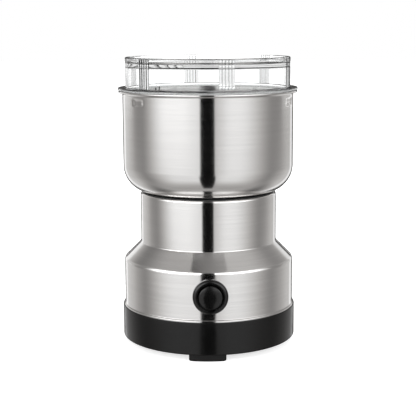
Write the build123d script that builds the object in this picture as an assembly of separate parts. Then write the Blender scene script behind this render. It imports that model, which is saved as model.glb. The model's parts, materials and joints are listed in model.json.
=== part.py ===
from build123d import *
from math import cos, degrees, hypot, radians, sin, sqrt, tan
import os

# Electric grain mill: a steel body with a motor, a steel bowl with a blade and a clear lid.
# Millimetres. Z is up, the floor is z = 0, the motor shaft is the Z axis, the button faces -Y.

# ---------------------------------------------------------------- driving dimensions

# Clearances
slide_gap = 0.35          # between pieces that slide or turn past each other
running_gap = 0.03        # shaft in its bushes
seat_gap = 0.25           # pieces that are pushed together by hand
air_gap = 0.5             # rotor in the stator

# Feet
foot_height = 4.0
foot_width = 21.5
foot_depth = 11.0
foot_inset = 1.4          # from the side of the base
foot_corner = 2.5
foot_edge = 0.8
foot_stem_radius = 2.5
foot_barb = 0.7
foot_barb_height = 1.2
foot_count = 3
foot_first = -92.0       # the front one, a little to the left of the button

# Base cup
base_radius = 51.9
base_height = 19.2
base_floor = 2.5
base_edge = 1.0
base_floor_bend = 1.5
spigot_height = 4.0
spigot_wall = 1.8
boss_radius = 4.5
boss_gap = 1.25           # between a boss and the barb of a foot
boss_height = 17.5
boss_angles = (30, 150, 270)
inlet_vent_count = 12
inlet_vent_start = 12.0
inlet_vent_end = 26.0
vent_width = 3.0
outlet_vent_length = 5.0
outlet_vent_wall = 2.9    # left between a vent and the inside of the base
outlet_vent_step = 8.0    # degrees
outlet_vent_count = 7     # between two feet

# Base screws
base_screw_radius = 1.5
base_screw_head = 2.9
base_screw_head_height = 2.2
base_screw_sink = 9.5     # how deep the heads sit in the bosses

# Cord gland
gland_height = 10.9       # of its axis above the base's underside
gland_bore = 3.1
gland_barrel = 5.2
gland_flange = 7.4
gland_proud = 2.6
gland_collar = 6.2
gland_collar_thickness = 1.8

# Body shell, of steel sheet
shell_wall = 0.7
lip_set_in = 0.1          # from the side of the base
lip_height = 0.8
lip_flare = 2.5
lip_flare_depth = 1.15
body_height = 29.0
shoulder_rise = 10.0
shoulder_run = 10.0
shoulder_bend = 1.6
neck_height = 28.8
neck_bend = 1.2
neck_flange = 6.6

# Bowl, of steel sheet
gasket_thickness = 0.5
gasket_width = 5.0
bowl_wall = 0.6
bowl_set_in = 0.05        # from the side of the body
bowl_height = 58.7        # to the underside of its rim
bowl_corner = 16.0
rim_overhang = 2.35
rim_height = 1.3
rim_edge = 0.6
dent_drop = 2.6           # from the underside of the rim to the top of a dent
dent_height = 3.5
dent_depth = 1.1
dent_angle = 12.0
dent_first = -143.0
lock_count = 3

# Lid, clear plastic, and its seal
lid_set_in = 1.2          # from the inside of the bowl
lid_wall = 2.2
lid_rise = 17.6           # above the flange
lid_recess = 3.7
lid_panel = 2.0
lid_edge = 0.8
flange_overhang = 0.15    # over the bowl's rim
flange_thickness = 1.5
flange_edge = 0.6
lug_thickness = 1.6
lug_angle = 10.0
lug_stop_angle = 2.0
lock_turn = 25.0
rib_radius = 0.75
rib_pitch = 1.72
ribs_per_group = 5
rib_groups = 6
rib_first = -78.6
seal_set_out = 0.4        # from the inside of the bowl
seal_width = 1.9
seal_height = 1.2
seal_proud = 0.4

# Button and its bezel
button_height = 10.9      # of its axis above the base's spigot
bezel_radius = 10.15
bezel_proud = 2.45
bezel_edge = 0.6
groove_radius = 8.0
groove_depth = 1.6
barrel_radius = 8.7
barrel_reach = 9.6        # inwards from the outside of the shell
button_radius = 6.75
button_proud = 1.6        # of the bezel's face
button_dome = 0.7
button_collar = 0.8
button_collar_length = 2.0
button_travel = 2.0
stem_radius = 2.4
stem_reach = 3.0          # into the switch
bezel_nut_radius = 11.0
bezel_nut_thickness = 3.0
spring_radius = 5.0
spring_wire = 0.35
spring_turns = 4

# Switch
switch_width = 13.0
switch_depth = 12.0
switch_plate_width = 18.0
switch_plate = 2.0
tab_length = 4.0
tab_width = 3.0
tab_thickness = 0.8
tab_spread = 3.3          # each tab above or below the button's axis

# Motor frame
bracket_thickness = 3.0
bracket_arm = 9.0
bracket_pad = 6.0
lower_hub_radius = 8.5
lower_hub_drop = 3.5      # of the hub below the lower bracket
lower_hub_rise = 2.3      # of the hub above the lower bracket
leg_radius = 4.0
lower_leg = 19.0
upper_hub_radius = 9.0
upper_hub_drop = 9.3
upper_plate_gap = 1.4     # from the neck's inside
tower_radius = 7.5
tower_rise = 5.0          # above the bowl's floor
stud_circle = 24.0
stud_radius = 2.0
stud_count = 3
stud_end = 1.5            # past the nuts
pad_radius = 5.0
nut_across_flats = 7.0
nut_thickness = 3.2
ring_nut_radius = 12.0
ring_nut_thickness = 3.5
ring_washer_thickness = 0.8

# Stator
stack_length = 24.0
stator_width = 56.0
stator_depth = 48.0
stator_corner = 10.0
window_corner = 2.0
yoke_side = 5.0
yoke_back = 7.5
pole_width = 19.0
shoe_thickness = 2.5
shoe_angle = 50.0
coil_gap = 0.4            # from the shoe in front and the yoke behind
coil_side_gap = 1.3       # from the yoke beside it
coil_inner_gap = 0.3
coil_end = 5.5
bolt_radius = 2.0
bolt_head = 3.5
bolt_head_height = 2.6
bolt_thread = 9.0

# Rotor
shaft_radius = 3.0
shaft_tip_radius = 2.5
rotor_radius = 14.2
slot_count = 12
slot_width = 2.2
slot_depth = 6.0
winding_radius = 12.8
winding_end = 4.6
winding_core = 4.6
commutator_radius = 9.0
commutator_length = 9.5
riser_radius = 10.4
riser_length = 1.5
bush_radius = 5.5
bush_length = 8.0
washer_radius = 5.4
fan_radius = 24.0
fan_plate = 1.2
fan_blade_height = 6.0
fan_blade_thickness = 1.2
fan_blade_count = 9
fan_hub_radius = 5.2
fan_floor_gap = 3.6
fan_hub_below = 1.0       # of the fan's hub past its blades

# Brushes
brush_size = 6.0
brush_length = 13.0
brush_gap = 0.1
holder_width = 11.0
holder_height = 11.4
holder_start = 11.0
holder_length = 18.0
brush_cap = 1.2
brush_spring_radius = 2.2

# Blade and its fastening
blade_tip_gap = 13.0      # from the bowl's wall
blade_root_width = 11.0
blade_tip_width = 7.0
blade_thickness = 1.5
blade_hub_radius = 7.5
blade_pitch = 12.0        # degrees, about each wing's own length
blade_lift = 28.0         # degrees, of the raised pair
blade_drop = 4.0          # degrees, of the lowered pair
spacer_radius = 5.0
spacer_height = 2.4
spacer_gap = 0.5          # above the tower
blade_washer_thickness = 1.0
cap_nut_flats = 8.0
cap_nut_height = 5.0
seal_ring_radius = 6.0
seal_ring_height = 4.0
seal_ring_gap = 0.1

# Terminal block and leads
block_width = 20.0
block_depth = 8.0
block_height = 9.0
block_way_spread = 5.0
lead_radius = 1.0
lead_bend = 8.0
lead_set_in = 4.7         # of the leads from the base's wall

# ---------------------------------------------------------------- heights and radii that follow

base_low = foot_height
base_high = base_low + base_height
floor_high = base_low + base_floor
lip_radius = base_radius - lip_set_in
body_radius = lip_radius - lip_flare_depth
spigot_radius = body_radius - shell_wall - seat_gap
base_bore = spigot_radius - spigot_wall
outlet_vent_end = base_bore - outlet_vent_wall
outlet_vent_start = outlet_vent_end - outlet_vent_length
foot_circle = base_radius - foot_inset - foot_depth / 2
foot_stem_circle = base_bore - base_floor_bend - foot_stem_radius - foot_barb - seat_gap
boss_circle = foot_stem_circle - foot_stem_radius - foot_barb - boss_gap - boss_radius
lead_circle = base_bore - lead_set_in
gland_z = base_low + gland_height

shell_bore = body_radius - shell_wall
lip_high = base_high + lip_height + lip_flare
shoulder_low = base_high + body_height
shoulder_high = shoulder_low + shoulder_rise
neck_high = shoulder_high + neck_height
neck_radius = body_radius - shoulder_run
neck_bore = neck_radius - shell_wall
neck_mouth = neck_radius - neck_flange

bowl_low = neck_high + gasket_thickness
bowl_floor = bowl_low + bowl_wall
bowl_radius = body_radius - bowl_set_in
bowl_bore = bowl_radius - bowl_wall
bowl_hole = tower_radius + seat_gap
rim_low = bowl_low + bowl_height
rim_high = rim_low + rim_height
rim_radius = bowl_radius + rim_overhang
dent_high = rim_low - dent_drop
dent_low = dent_high - dent_height

flange_low = rim_high + seal_proud
flange_high = flange_low + flange_thickness
flange_radius = rim_radius + flange_overhang
seal_inner = bowl_bore + seal_set_out
lid_high = flange_high + lid_rise
lid_radius = bowl_bore - lid_set_in
lid_bore = lid_radius - lid_wall
skirt_radius = bowl_bore - dent_depth - slide_gap
lug_radius = bowl_bore - slide_gap
lug_high = dent_low - slide_gap
skirt_low = lug_high - lug_thickness

button_z = base_high + spigot_height + button_height
button_front = -(body_radius + bezel_proud + button_proud)
bezel_front = -(body_radius + bezel_proud)
barrel_end = -(body_radius - barrel_reach)
button_bore = button_radius + slide_gap
collar_radius = button_radius + button_collar
collar_bore = collar_radius + slide_gap
barrel_step = -shell_bore + 1.5
collar_back = barrel_step + button_collar_length
switch_front = barrel_end
switch_back = switch_front + switch_plate + switch_depth
stem_end = switch_front + stem_reach

bracket_low = floor_high + boss_height
bracket_high = bracket_low + bracket_thickness
stack_low = bracket_high + lower_leg
stack_high = stack_low + stack_length
bolt_place = stator_depth / 2 - yoke_back / 2
plate_high = neck_high - shell_wall
plate_low = plate_high - bracket_thickness
plate_radius = neck_bore - upper_plate_gap
tower_high = bowl_floor + tower_rise
upper_hub_low = plate_low - upper_hub_drop
lower_hub_low = bracket_low - lower_hub_drop
lower_hub_high = bracket_high + lower_hub_rise
stator_bore = rotor_radius + air_gap
window_width = stator_width - 2 * yoke_side
window_depth = stator_depth - 2 * yoke_back
coil_front = stator_bore + shoe_thickness + coil_gap
coil_back = window_width / 2 - coil_gap
coil_side = window_depth / 2 - coil_side_gap

commutator_low = lower_hub_high + 1.2
commutator_high = commutator_low + commutator_length
brush_z = commutator_low + brush_size / 2
brush_bore = brush_size / 2 + 0.15
holder_end = holder_start + holder_length
cap_front = holder_end - 1.6
brush_back = commutator_radius + brush_gap + brush_length
winding_high = stack_high + winding_end
fan_blade_low = floor_high + fan_floor_gap
fan_plate_low = fan_blade_low + fan_blade_height
fan_hub_high = fan_plate_low + fan_plate + 0.6
fan_hub_low = fan_blade_low - fan_hub_below
shaft_shoulder = tower_high + spacer_gap
blade_low = shaft_shoulder + spacer_height
blade_high = blade_low + blade_thickness
blade_reach = bowl_bore - blade_tip_gap
cap_nut_low = blade_high + blade_washer_thickness
shaft_top = cap_nut_low + cap_nut_height - 1.6
block_high = floor_high + block_height
block_place = foot_stem_circle - foot_stem_radius - foot_barb - slide_gap - block_depth / 2

# ---------------------------------------------------------------- shapes used again


def turned(points, bends=None):
    """Solid turned about Z from a closed outline of (radius, height) points."""
    outline = FilletPolyline(*points, radius=bends, close=True) if bends else Polyline(*points, close=True)
    return revolve(Plane.XZ * make_face(outline), Axis.Z)


def inward(before, corner, after, wall):
    """The corner of a line laid one wall to the left of two straight runs."""
    ahead = [(b[0] - a[0], b[1] - a[1]) for a, b in ((before, corner), (corner, after))]
    left = [(-y / hypot(x, y), x / hypot(x, y)) for x, y in ahead]
    share = wall / (1 + left[0][0] * left[1][0] + left[0][1] * left[1][1])
    return corner[0] + share * (left[0][0] + left[1][0]), corner[1] + share * (left[0][1] + left[1][1])


def pressed_sheet(path, bends, wall):
    """Sheet metal turned about Z: path is its outside, with the wall laid to the left of it."""
    count = len(path)
    inside, inside_bends = [], []
    for i in range(count):
        corner = path[i]
        before = path[i - 1] if i else tuple(2 * a - b for a, b in zip(path[0], path[1]))
        after = path[i + 1] if i < count - 1 else tuple(2 * a - b for a, b in zip(path[-1], path[-2]))
        run, next_run = [(b[0] - a[0], b[1] - a[1]) for a, b in ((before, corner), (corner, after))]
        turn = run[0] * next_run[1] - run[1] * next_run[0]
        inside.append(inward(before, corner, after, wall))
        inside_bends.append(max(bends[i] - wall, 0) if turn > 0 else bends[i] + wall if bends[i] else 0)
    return turned(path + inside[::-1], bends + inside_bends[::-1])


def disc(radius, low, high, x=0.0, y=0.0):
    """Upright cylinder between two heights."""
    return Pos(x, y, low) * Cylinder(radius, high - low, align=(Align.CENTER, Align.CENTER, Align.MIN))


def tube(outer, inner, low, high, x=0.0, y=0.0):
    """Upright ring between two heights."""
    return disc(outer, low, high, x, y) - disc(inner, low - 1, high + 1, x, y)


def block(xs, ys, zs):
    """Box between two corners, each given as (low, high)."""
    size = [b - a for a, b in (xs, ys, zs)]
    return Pos(*[(a + b) / 2 for a, b in (xs, ys, zs)]) * Box(*size)


def on_circle(radius, angle):
    """Point on a circle about the shaft, the angle in degrees from +X."""
    return radius * cos(radians(angle)), radius * sin(radians(angle))


def sector(points, angle, middle, bends=None):
    """Part of a turned shape, an angle wide, about a middle direction."""
    outline = FilletPolyline(*points, radius=bends, close=True) if bends else Polyline(*points, close=True)
    return Rot(0, 0, middle - angle / 2) * revolve(Plane.XZ * make_face(outline), Axis.Z, angle)


def across(height, angle=90.0):
    """Plane whose Z points level from the shaft at an angle, for what is round about that line."""
    return Plane(origin=(0, 0, height), x_dir=(0, 0, 1), z_dir=(*on_circle(1, angle), 0))


def hexagon(flats, low, high, x=0.0, y=0.0):
    """Upright hexagonal bar between two heights."""
    return Pos(x, y, low) * extrude(RegularPolygon(flats / 2, 6, major_radius=False), high - low)


def coil_spring(radius, wire, length, turns):
    """Compression spring that stands on z = 0."""
    path = Helix(pitch=(length - 2 * wire) / turns, height=length - 2 * wire, radius=radius)
    ring = Plane(origin=path @ 0, z_dir=path % 0) * Circle(wire)
    return Pos(0, 0, wire) * sweep(ring, path=path, is_frenet=True)


def lead(points):
    """Insulated lead along straight runs joined by arcs as large as the runs allow."""
    knots = [Vector(*p) for p in points]
    bends = []
    for before, corner, after in zip(knots, knots[1:], knots[2:]):
        turn = (corner - before).get_angle(after - corner)
        run = min((corner - before).length, (after - corner).length)
        bends.append(min(lead_bend, 0.45 * run / tan(radians(turn / 2))))
    path = FilletPolyline(*points, radius=bends)
    return sweep(Plane(origin=path @ 0, z_dir=path % 0) * Circle(lead_radius), path=path)


boss_places = [on_circle(boss_circle, a) for a in boss_angles]
bolt_places = [(0, -bolt_place), (0, bolt_place)]
stud_places = [on_circle(stud_circle, i * 360 / stud_count) for i in range(stud_count)]
dent_angles = [dent_first + i * 360 / lock_count for i in range(lock_count)]
foot_angles = [foot_first + i * 360 / foot_count for i in range(foot_count)]

# ---------------------------------------------------------------- base


def base_cup():
    """Black moulded cup that stands on the feet and holds up the motor and the shell."""
    cup = turned(
        [
            (0, base_low), (base_radius, base_low), (base_radius, base_high), (spigot_radius, base_high),
            (spigot_radius, base_high + spigot_height), (base_bore, base_high + spigot_height),
            (base_bore, floor_high), (0, floor_high),
        ],
        [0, base_edge, 0.4, 0, 0.5, 0, base_floor_bend, 0],
    )
    for x, y in boss_places:
        cup += disc(boss_radius, base_low + base_floor / 2, bracket_low, x, y)
        cup -= disc(base_screw_head + seat_gap, base_low - 1, base_low + base_screw_sink, x, y)
        cup -= disc(base_screw_radius + seat_gap, base_low, bracket_low + 1, x, y)
    for angle in foot_angles:
        cup -= disc(foot_stem_radius, base_low - 1, floor_high + 1, *on_circle(foot_stem_circle, angle))
    cup -= across(gland_z) * disc(gland_barrel, base_bore - 2, base_radius + 1)
    vent_sides, through = (-vent_width / 2, vent_width / 2), (base_low - 1, floor_high + 1)
    inlet = block((inlet_vent_start, inlet_vent_end), vent_sides, through)
    outlet = block((outlet_vent_start, outlet_vent_end), vent_sides, through)
    for i in range(inlet_vent_count):
        cup -= Rot(0, 0, (i + 0.5) * 360 / inlet_vent_count) * inlet
    for angle in foot_angles:
        between = angle + 180 / foot_count
        for i in range(outlet_vent_count):
            cup -= Rot(0, 0, between + (i - (outlet_vent_count - 1) / 2) * outlet_vent_step) * outlet
    return cup


def foot(angle):
    """Rubber foot with a stem that is pushed through the base."""
    outer, inner = foot_circle + foot_depth / 2, foot_circle - foot_depth / 2
    pad = tube(outer, inner, 0, foot_height)
    pad &= block((0, outer + 1), (-foot_width / 2, foot_width / 2), (0, foot_height))
    pad = fillet(pad.edges().filter_by(Axis.Z), foot_corner)
    pad = fillet(pad.faces().sort_by(Axis.Z)[0].edges(), foot_edge)
    pad += disc(foot_stem_radius, foot_height / 2, floor_high, foot_stem_circle)
    pad += disc(foot_stem_radius + foot_barb, floor_high, floor_high + foot_barb_height, foot_stem_circle)
    return Rot(0, 0, angle) * pad


def base_screw(x, y):
    """Pan-head screw from below, through a boss into the lower motor bracket."""
    seat = base_low + base_screw_sink
    face = seat - base_screw_head_height
    head = disc(base_screw_head, face, seat, x, y)
    head = fillet(head.edges().sort_by(Axis.Z)[0], 0.7)
    head -= block((x - 2, x + 2), (y - 0.4, y + 0.4), (face - 1, face + 0.9))
    return head + disc(base_screw_radius, seat, bracket_high, x, y)


def cord_gland():
    """Bush in the back of the base that the mains lead passes through."""
    flange = across(gland_z) * disc(gland_flange, base_radius - 2, base_radius + gland_proud)
    flange = chamfer(flange.edges().sort_by(Axis.Y)[-1], 0.9) - disc(base_radius, base_low, base_high)
    seat = sqrt(base_bore**2 - gland_collar**2)
    end = seat - gland_collar_thickness
    barrel = across(gland_z) * disc(gland_barrel, end, base_radius + gland_proud / 2)
    collar = across(gland_z) * disc(gland_collar, end, seat)
    hole = across(gland_z) * disc(gland_bore, end - 1, base_radius + gland_proud + 1)
    return flange + barrel + collar - hole


# ---------------------------------------------------------------- shell, bowl and lid


def body_shell():
    """Steel skirt, shoulder and neck in one pressing, with a hole for the button's bezel."""
    shell = pressed_sheet(
        [
            (lip_radius, base_high), (lip_radius, base_high + lip_height), (body_radius, lip_high),
            (body_radius, shoulder_low), (neck_radius, shoulder_high), (neck_radius, neck_high),
            (neck_mouth, neck_high),
        ],
        [0, 0.6, 1.2, shoulder_bend, shoulder_bend, neck_bend, 0],
        shell_wall,
    )
    return shell - across(button_z, 270) * disc(barrel_radius + seat_gap, neck_radius, body_radius + 1)


def bowl():
    """Round-cornered steel bowl with a rolled rim and three stamped dents that hold the lid."""
    cup = pressed_sheet(
        [(bowl_hole, bowl_low), (bowl_radius, bowl_low), (bowl_radius, rim_high)],
        [0, bowl_corner, 0],
        bowl_wall,
    )
    cup += turned(
        [
            (bowl_radius - bowl_wall / 2, rim_low), (rim_radius, rim_low),
            (rim_radius, rim_high), (bowl_radius - bowl_wall / 2, rim_high),
        ],
        [0, rim_edge, rim_edge, 0],
    )
    wall_angle = degrees(bowl_wall / bowl_radius)
    crest, root = bowl_bore - dent_depth, bowl_bore + bowl_wall / 2
    for angle in dent_angles:
        bump = [
            (root, dent_low - bowl_wall), (crest, dent_low),
            (crest, dent_high), (root, dent_high + bowl_wall),
        ]
        pocket = [
            (bowl_radius + 1, dent_low), (crest + bowl_wall, dent_low + bowl_wall),
            (crest + bowl_wall, dent_high - bowl_wall), (bowl_radius + 1, dent_high),
        ]
        cup += sector(bump, dent_angle, angle)
        cup -= sector(pocket, dent_angle - 2 * wall_angle, angle)
    for x, y in stud_places:
        cup += disc(stud_radius, plate_low - nut_thickness - stud_end, bowl_low + bowl_wall / 2, x, y)
    return cup


def lid():
    """Clear lid: a wall with ribs for the hand, a sunk top, a flange and a skirt with three lugs."""
    cover = turned(
        [
            (lid_bore, skirt_low), (skirt_radius, skirt_low), (skirt_radius, flange_low),
            (flange_radius, flange_low), (flange_radius, flange_high), (lid_radius, flange_high),
            (lid_radius, lid_high), (lid_bore, lid_high), (lid_bore, lid_high - lid_recess),
            (0, lid_high - lid_recess), (0, lid_high - lid_recess - lid_panel),
            (lid_bore, lid_high - lid_recess - lid_panel),
        ],
        [0.5, 0.5, 0, 0.4, flange_edge, 0.5, lid_edge, lid_edge, lid_edge, 0, 0, 1.5],
    )
    cover -= tube(
        seal_inner + seal_width + slide_gap, seal_inner - slide_gap,
        flange_low - 1, flange_low + seal_height - seal_proud,
    )
    middle = (lid_bore + skirt_radius) / 2
    for angle in dent_angles:
        rest = angle + lock_turn
        lug = [(middle, skirt_low), (lug_radius, skirt_low), (lug_radius, lug_high), (middle, lug_high)]
        cover += sector(lug, lug_angle, rest)
        stop = [(middle, skirt_low), (lug_radius, skirt_low), (lug_radius, flange_low), (middle, flange_low)]
        clear = dent_angle / 2 + degrees(slide_gap / lug_radius)
        cover += sector(stop, lug_stop_angle, rest + clear + lug_stop_angle / 2)
        web = clear - lug_angle / 2 + lug_stop_angle / 2
        cover += sector(lug, web, rest + lug_angle / 2 + web / 2)
    step = degrees(rib_pitch / lid_radius)
    for group in range(rib_groups):
        for i in range(ribs_per_group):
            angle = rib_first + group * 360 / rib_groups + (i - (ribs_per_group - 1) / 2) * step
            place = on_circle(lid_radius, angle)
            cover += disc(rib_radius, flange_high - flange_thickness / 2, lid_high - lid_edge, *place)
    return cover


def lid_seal():
    """Silicone ring in the groove under the lid's flange."""
    return tube(seal_inner + seal_width, seal_inner, rim_high, rim_high + seal_height)


def bowl_gasket():
    """Ring between the neck and the bowl."""
    return tube(neck_mouth + gasket_width, neck_mouth, neck_high, bowl_low)


# ---------------------------------------------------------------- button and switch


def button_bezel():
    """Round bezel saddled on the shell, with a threaded barrel through it."""
    ring = turned(
        [
            (button_bore, bezel_front + groove_depth), (groove_radius, bezel_front + groove_depth),
            (groove_radius, bezel_front), (bezel_radius, bezel_front), (bezel_radius, -neck_radius),
            (button_bore, -neck_radius),
        ],
        [0, 0, 0, bezel_edge, 0, 0],
    )
    ring = Plane(origin=(0, 0, button_z), z_dir=(0, 1, 0)) * ring - disc(body_radius, base_low, shoulder_high)
    barrel = turned(
        [
            (button_bore, bezel_front + groove_depth), (barrel_radius, bezel_front + groove_depth),
            (barrel_radius, barrel_end), (collar_bore, barrel_end), (collar_bore, barrel_step),
            (button_bore, barrel_step),
        ],
    )
    return ring + Plane(origin=(0, 0, button_z), z_dir=(0, 1, 0)) * barrel


def bezel_nut():
    """Round nut that holds the bezel from the inside of the shell."""
    front = -sqrt(shell_bore**2 - bezel_nut_radius**2)
    nut = tube(bezel_nut_radius, barrel_radius, front, front + bezel_nut_thickness)
    rim = (bezel_nut_radius - 1, bezel_nut_radius + 1)
    notch = block(rim, (-1, 1), (front - 1, front + bezel_nut_thickness + 1))
    for i in range(6):
        nut -= Rot(0, 0, i * 60 + 30) * notch
    return Plane(origin=(0, 0, button_z), z_dir=(0, 1, 0)) * nut


def button_cap():
    """Push button with a slightly domed face, a collar that keeps it in and a stem for the switch."""
    cap = turned(
        [
            (0, button_front), (button_radius, button_front), (button_radius, barrel_step),
            (collar_radius, barrel_step), (collar_radius, collar_back), (stem_radius, collar_back),
            (stem_radius, stem_end), (0, stem_end),
        ],
        [0, button_dome, 0, 0, 0, 0, 0.5, 0],
    )
    return Plane(origin=(0, 0, button_z), z_dir=(0, 1, 0)) * cap


def button_spring():
    """Return spring between the button's collar and the switch."""
    spring = coil_spring(spring_radius, spring_wire, switch_front - collar_back, spring_turns)
    return Plane(origin=(0, collar_back, button_z), z_dir=(0, 1, 0)) * spring


def switch_housing():
    """Momentary switch with a plate that closes the bezel's barrel."""
    half, plate = switch_width / 2, switch_plate_width / 2
    plate_back = switch_front + switch_plate
    body = block((-half, half), (plate_back, switch_back), (button_z - half, button_z + half))
    body = fillet(body.edges().filter_by(Axis.Y), 1.0)
    body += block((-plate, plate), (switch_front, plate_back), (button_z - plate, button_z + plate))
    hole = disc(stem_radius + slide_gap, switch_front - 1, stem_end + button_travel + 1)
    return body - Plane(origin=(0, 0, button_z), z_dir=(0, 1, 0)) * hole


def switch_tabs():
    """Two brass tabs on the side of the switch."""
    side, middle = -switch_width / 2, (switch_front + switch_plate + switch_back) / 2
    length, width = (side - tab_length, side), (middle - tab_width / 2, middle + tab_width / 2)
    heights = (button_z - tab_spread, button_z + tab_spread)
    return [block(length, width, (z - tab_thickness / 2, z + tab_thickness / 2)) for z in heights]


# ---------------------------------------------------------------- motor frame


def lower_bracket():
    """Cast spider: a hub for the lower bush, arms to the base's bosses and legs up to the stator."""
    spider = disc(lower_hub_radius, lower_hub_low, lower_hub_high)
    for angle in boss_angles:
        arm = block((0, boss_circle), (-bracket_arm / 2, bracket_arm / 2), (bracket_low, bracket_high))
        spider += Rot(0, 0, angle) * (arm + disc(bracket_pad, bracket_low, bracket_high, boss_circle))
    bar = (bracket_low, bracket_high)
    spider += block((-holder_end, holder_end), (-holder_width / 2, holder_width / 2), bar)
    spider += block((-leg_radius, leg_radius), (-bolt_place, bolt_place), bar)
    for x, y in bolt_places:
        spider += disc(leg_radius, bracket_low, stack_low, x, y)
        spider -= disc(bolt_radius, bracket_low - 1, stack_low + 1, x, y)
    for x, y in boss_places:
        spider -= disc(base_screw_radius, bracket_low - 1, bracket_high + 1, x, y)
    spider -= disc(bush_radius, lower_hub_low - 1, lower_hub_low + bush_length)
    return spider - disc(shaft_radius + slide_gap, lower_hub_low, lower_hub_high + 1)


def upper_bracket():
    """Cast plate under the neck's flange, with a tower through the bowl and legs down to the stator."""
    frame = disc(plate_radius, plate_low, plate_high)
    frame += disc(tower_radius, plate_low, tower_high)
    frame += disc(upper_hub_radius, upper_hub_low, plate_high)
    for x, y in bolt_places:
        frame += disc(leg_radius, stack_high, plate_high, x, y)
        frame -= disc(bolt_radius, stack_high - 1, stack_high + bolt_thread, x, y)
    for x, y in stud_places:
        frame += disc(pad_radius, plate_low, bowl_low, x, y)
        frame -= disc(stud_radius + seat_gap, plate_low - 1, bowl_low + 1, x, y)
    frame -= disc(bush_radius, upper_hub_low - 1, upper_hub_low + bush_length)
    frame -= disc(shaft_radius + slide_gap, upper_hub_low, tower_high + 1)
    return frame - disc(seal_ring_radius, tower_high - seal_ring_height, tower_high + 1)


def stud_nut(x, y):
    """Hexagon nut on a stud of the bowl, under the upper bracket."""
    return hexagon(nut_across_flats, plate_low - nut_thickness, plate_low, x, y) - disc(
        stud_radius, plate_low - nut_thickness - 1, plate_low + 1, x, y
    )


def ring_nut():
    """Round nut on the tower, which seals the bowl's middle."""
    low = bowl_floor + ring_washer_thickness
    nut = tube(ring_nut_radius, tower_radius, low, low + ring_nut_thickness)
    nut = chamfer(nut.edges().group_by(Axis.Z)[-1].sort_by(SortBy.LENGTH)[-1], 0.8)
    side = (ring_nut_radius - 2, ring_nut_radius + 1)
    notch = block(side, (-1.25, 1.25), (low + 1, low + ring_nut_thickness + 1))
    for i in range(4):
        nut -= Rot(0, 0, i * 90 + 45) * notch
    return nut


def shaft_seal():
    """Lip seal round the shaft in the top of the tower."""
    return tube(seal_ring_radius, shaft_radius + seal_ring_gap, tower_high - seal_ring_height, tower_high)


def through_bolt(x, y):
    """Long bolt from under the lower bracket, through the stator, into the upper bracket."""
    head = disc(bolt_head, bracket_low - bolt_head_height, bracket_low, x, y)
    head -= hexagon(3.0, bracket_low - bolt_head_height - 1, bracket_low - 1, x, y)
    return head + disc(bolt_radius, bracket_low, stack_high + bolt_thread, x, y)


# ---------------------------------------------------------------- stator, rotor and brushes


def stator_core():
    """Laminated two-pole stator: yoke, two poles with shoes, and the bolts' holes."""
    face = RectangleRounded(stator_width, stator_depth, stator_corner)
    face -= RectangleRounded(window_width, window_depth, window_corner)
    ring = Circle(stator_bore + shoe_thickness)
    reach = stator_bore + shoe_thickness + 5
    half = reach * tan(radians(shoe_angle))
    wedge = make_face(Polyline((0, 0), (reach, -half), (reach, half), close=True))
    face += Rectangle(window_width + yoke_side, pole_width)
    face += ring & (wedge + Rot(0, 0, 180) * wedge)
    face -= Circle(stator_bore)
    for x, y in bolt_places:
        face -= Pos(x, y) * Circle(bolt_radius)
    return Pos(0, 0, stack_low) * extrude(face, stack_length)


def field_coil(side):
    """Winding round one pole of the stator."""
    wide = pole_width / 2 + coil_inner_gap
    inner = block(
        (coil_front - 1, coil_back + 1), (-wide, wide),
        (stack_low - coil_inner_gap, stack_high + coil_inner_gap),
    )
    outer = block(
        (coil_front, coil_back), (-coil_side, coil_side),
        (stack_low - coil_end, stack_high + coil_end),
    )
    coil = fillet(outer.edges().filter_by(Axis.X), coil_end - 0.5) - inner
    return coil if side > 0 else mirror(coil, Plane.YZ)


def slot_bars():
    """The twelve wound slots of the rotor, as bars."""
    bar = block(
        (rotor_radius - slot_depth - 1, rotor_radius - 1),
        (-slot_width / 2, slot_width / 2),
        (stack_low, stack_high),
    )
    return [Rot(0, 0, i * 360 / slot_count) * bar for i in range(slot_count)]


def rotor_core():
    """Laminated rotor with its slots."""
    core = tube(rotor_radius, shaft_radius, stack_low, stack_high)
    for bar in slot_bars():
        core -= bar
    return core


def rotor_windings():
    """Copper in the rotor's slots and its two end turns."""
    low_end = turned(
        [
            (winding_core, stack_low - winding_end), (winding_radius - 1, stack_low - winding_end),
            (winding_radius, stack_low), (winding_core, stack_low),
        ],
        [0.5, 2.0, 0, 0],
    )
    copper = low_end + mirror(low_end, Plane.XY.offset((stack_low + stack_high) / 2))
    for bar in slot_bars():
        copper += bar
    return copper


def commutator():
    """Copper commutator with its segments and risers."""
    drum = tube(commutator_radius, shaft_radius, commutator_low, commutator_high)
    drum += tube(riser_radius, shaft_radius, commutator_high - riser_length, commutator_high)
    groove = block(
        (commutator_radius - 0.6, riser_radius + 1), (-0.2, 0.2), (commutator_low - 1, commutator_high + 1)
    )
    for i in range(slot_count):
        drum -= Rot(0, 0, (i + 0.5) * 360 / slot_count) * groove
    return drum


def rotor_shaft():
    """Ground shaft with a shoulder for the blade's spacer and a threaded tip."""
    return disc(shaft_radius, fan_hub_low, shaft_shoulder) + disc(shaft_tip_radius, shaft_shoulder, shaft_top)


def cooling_fan():
    """Radial fan under the motor, over the base's vents."""
    fan = tube(fan_radius, shaft_radius, fan_plate_low, fan_plate_low + fan_plate)
    fan += tube(fan_hub_radius, shaft_radius, fan_hub_low, fan_hub_high)
    blade = block(
        (fan_hub_radius + 3, fan_radius - 0.5),
        (-fan_blade_thickness / 2, fan_blade_thickness / 2),
        (fan_blade_low, fan_plate_low + fan_plate / 2),
    )
    for i in range(fan_blade_count):
        fan += Rot(0, 0, i * 360 / fan_blade_count) * blade
    return fan


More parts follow.
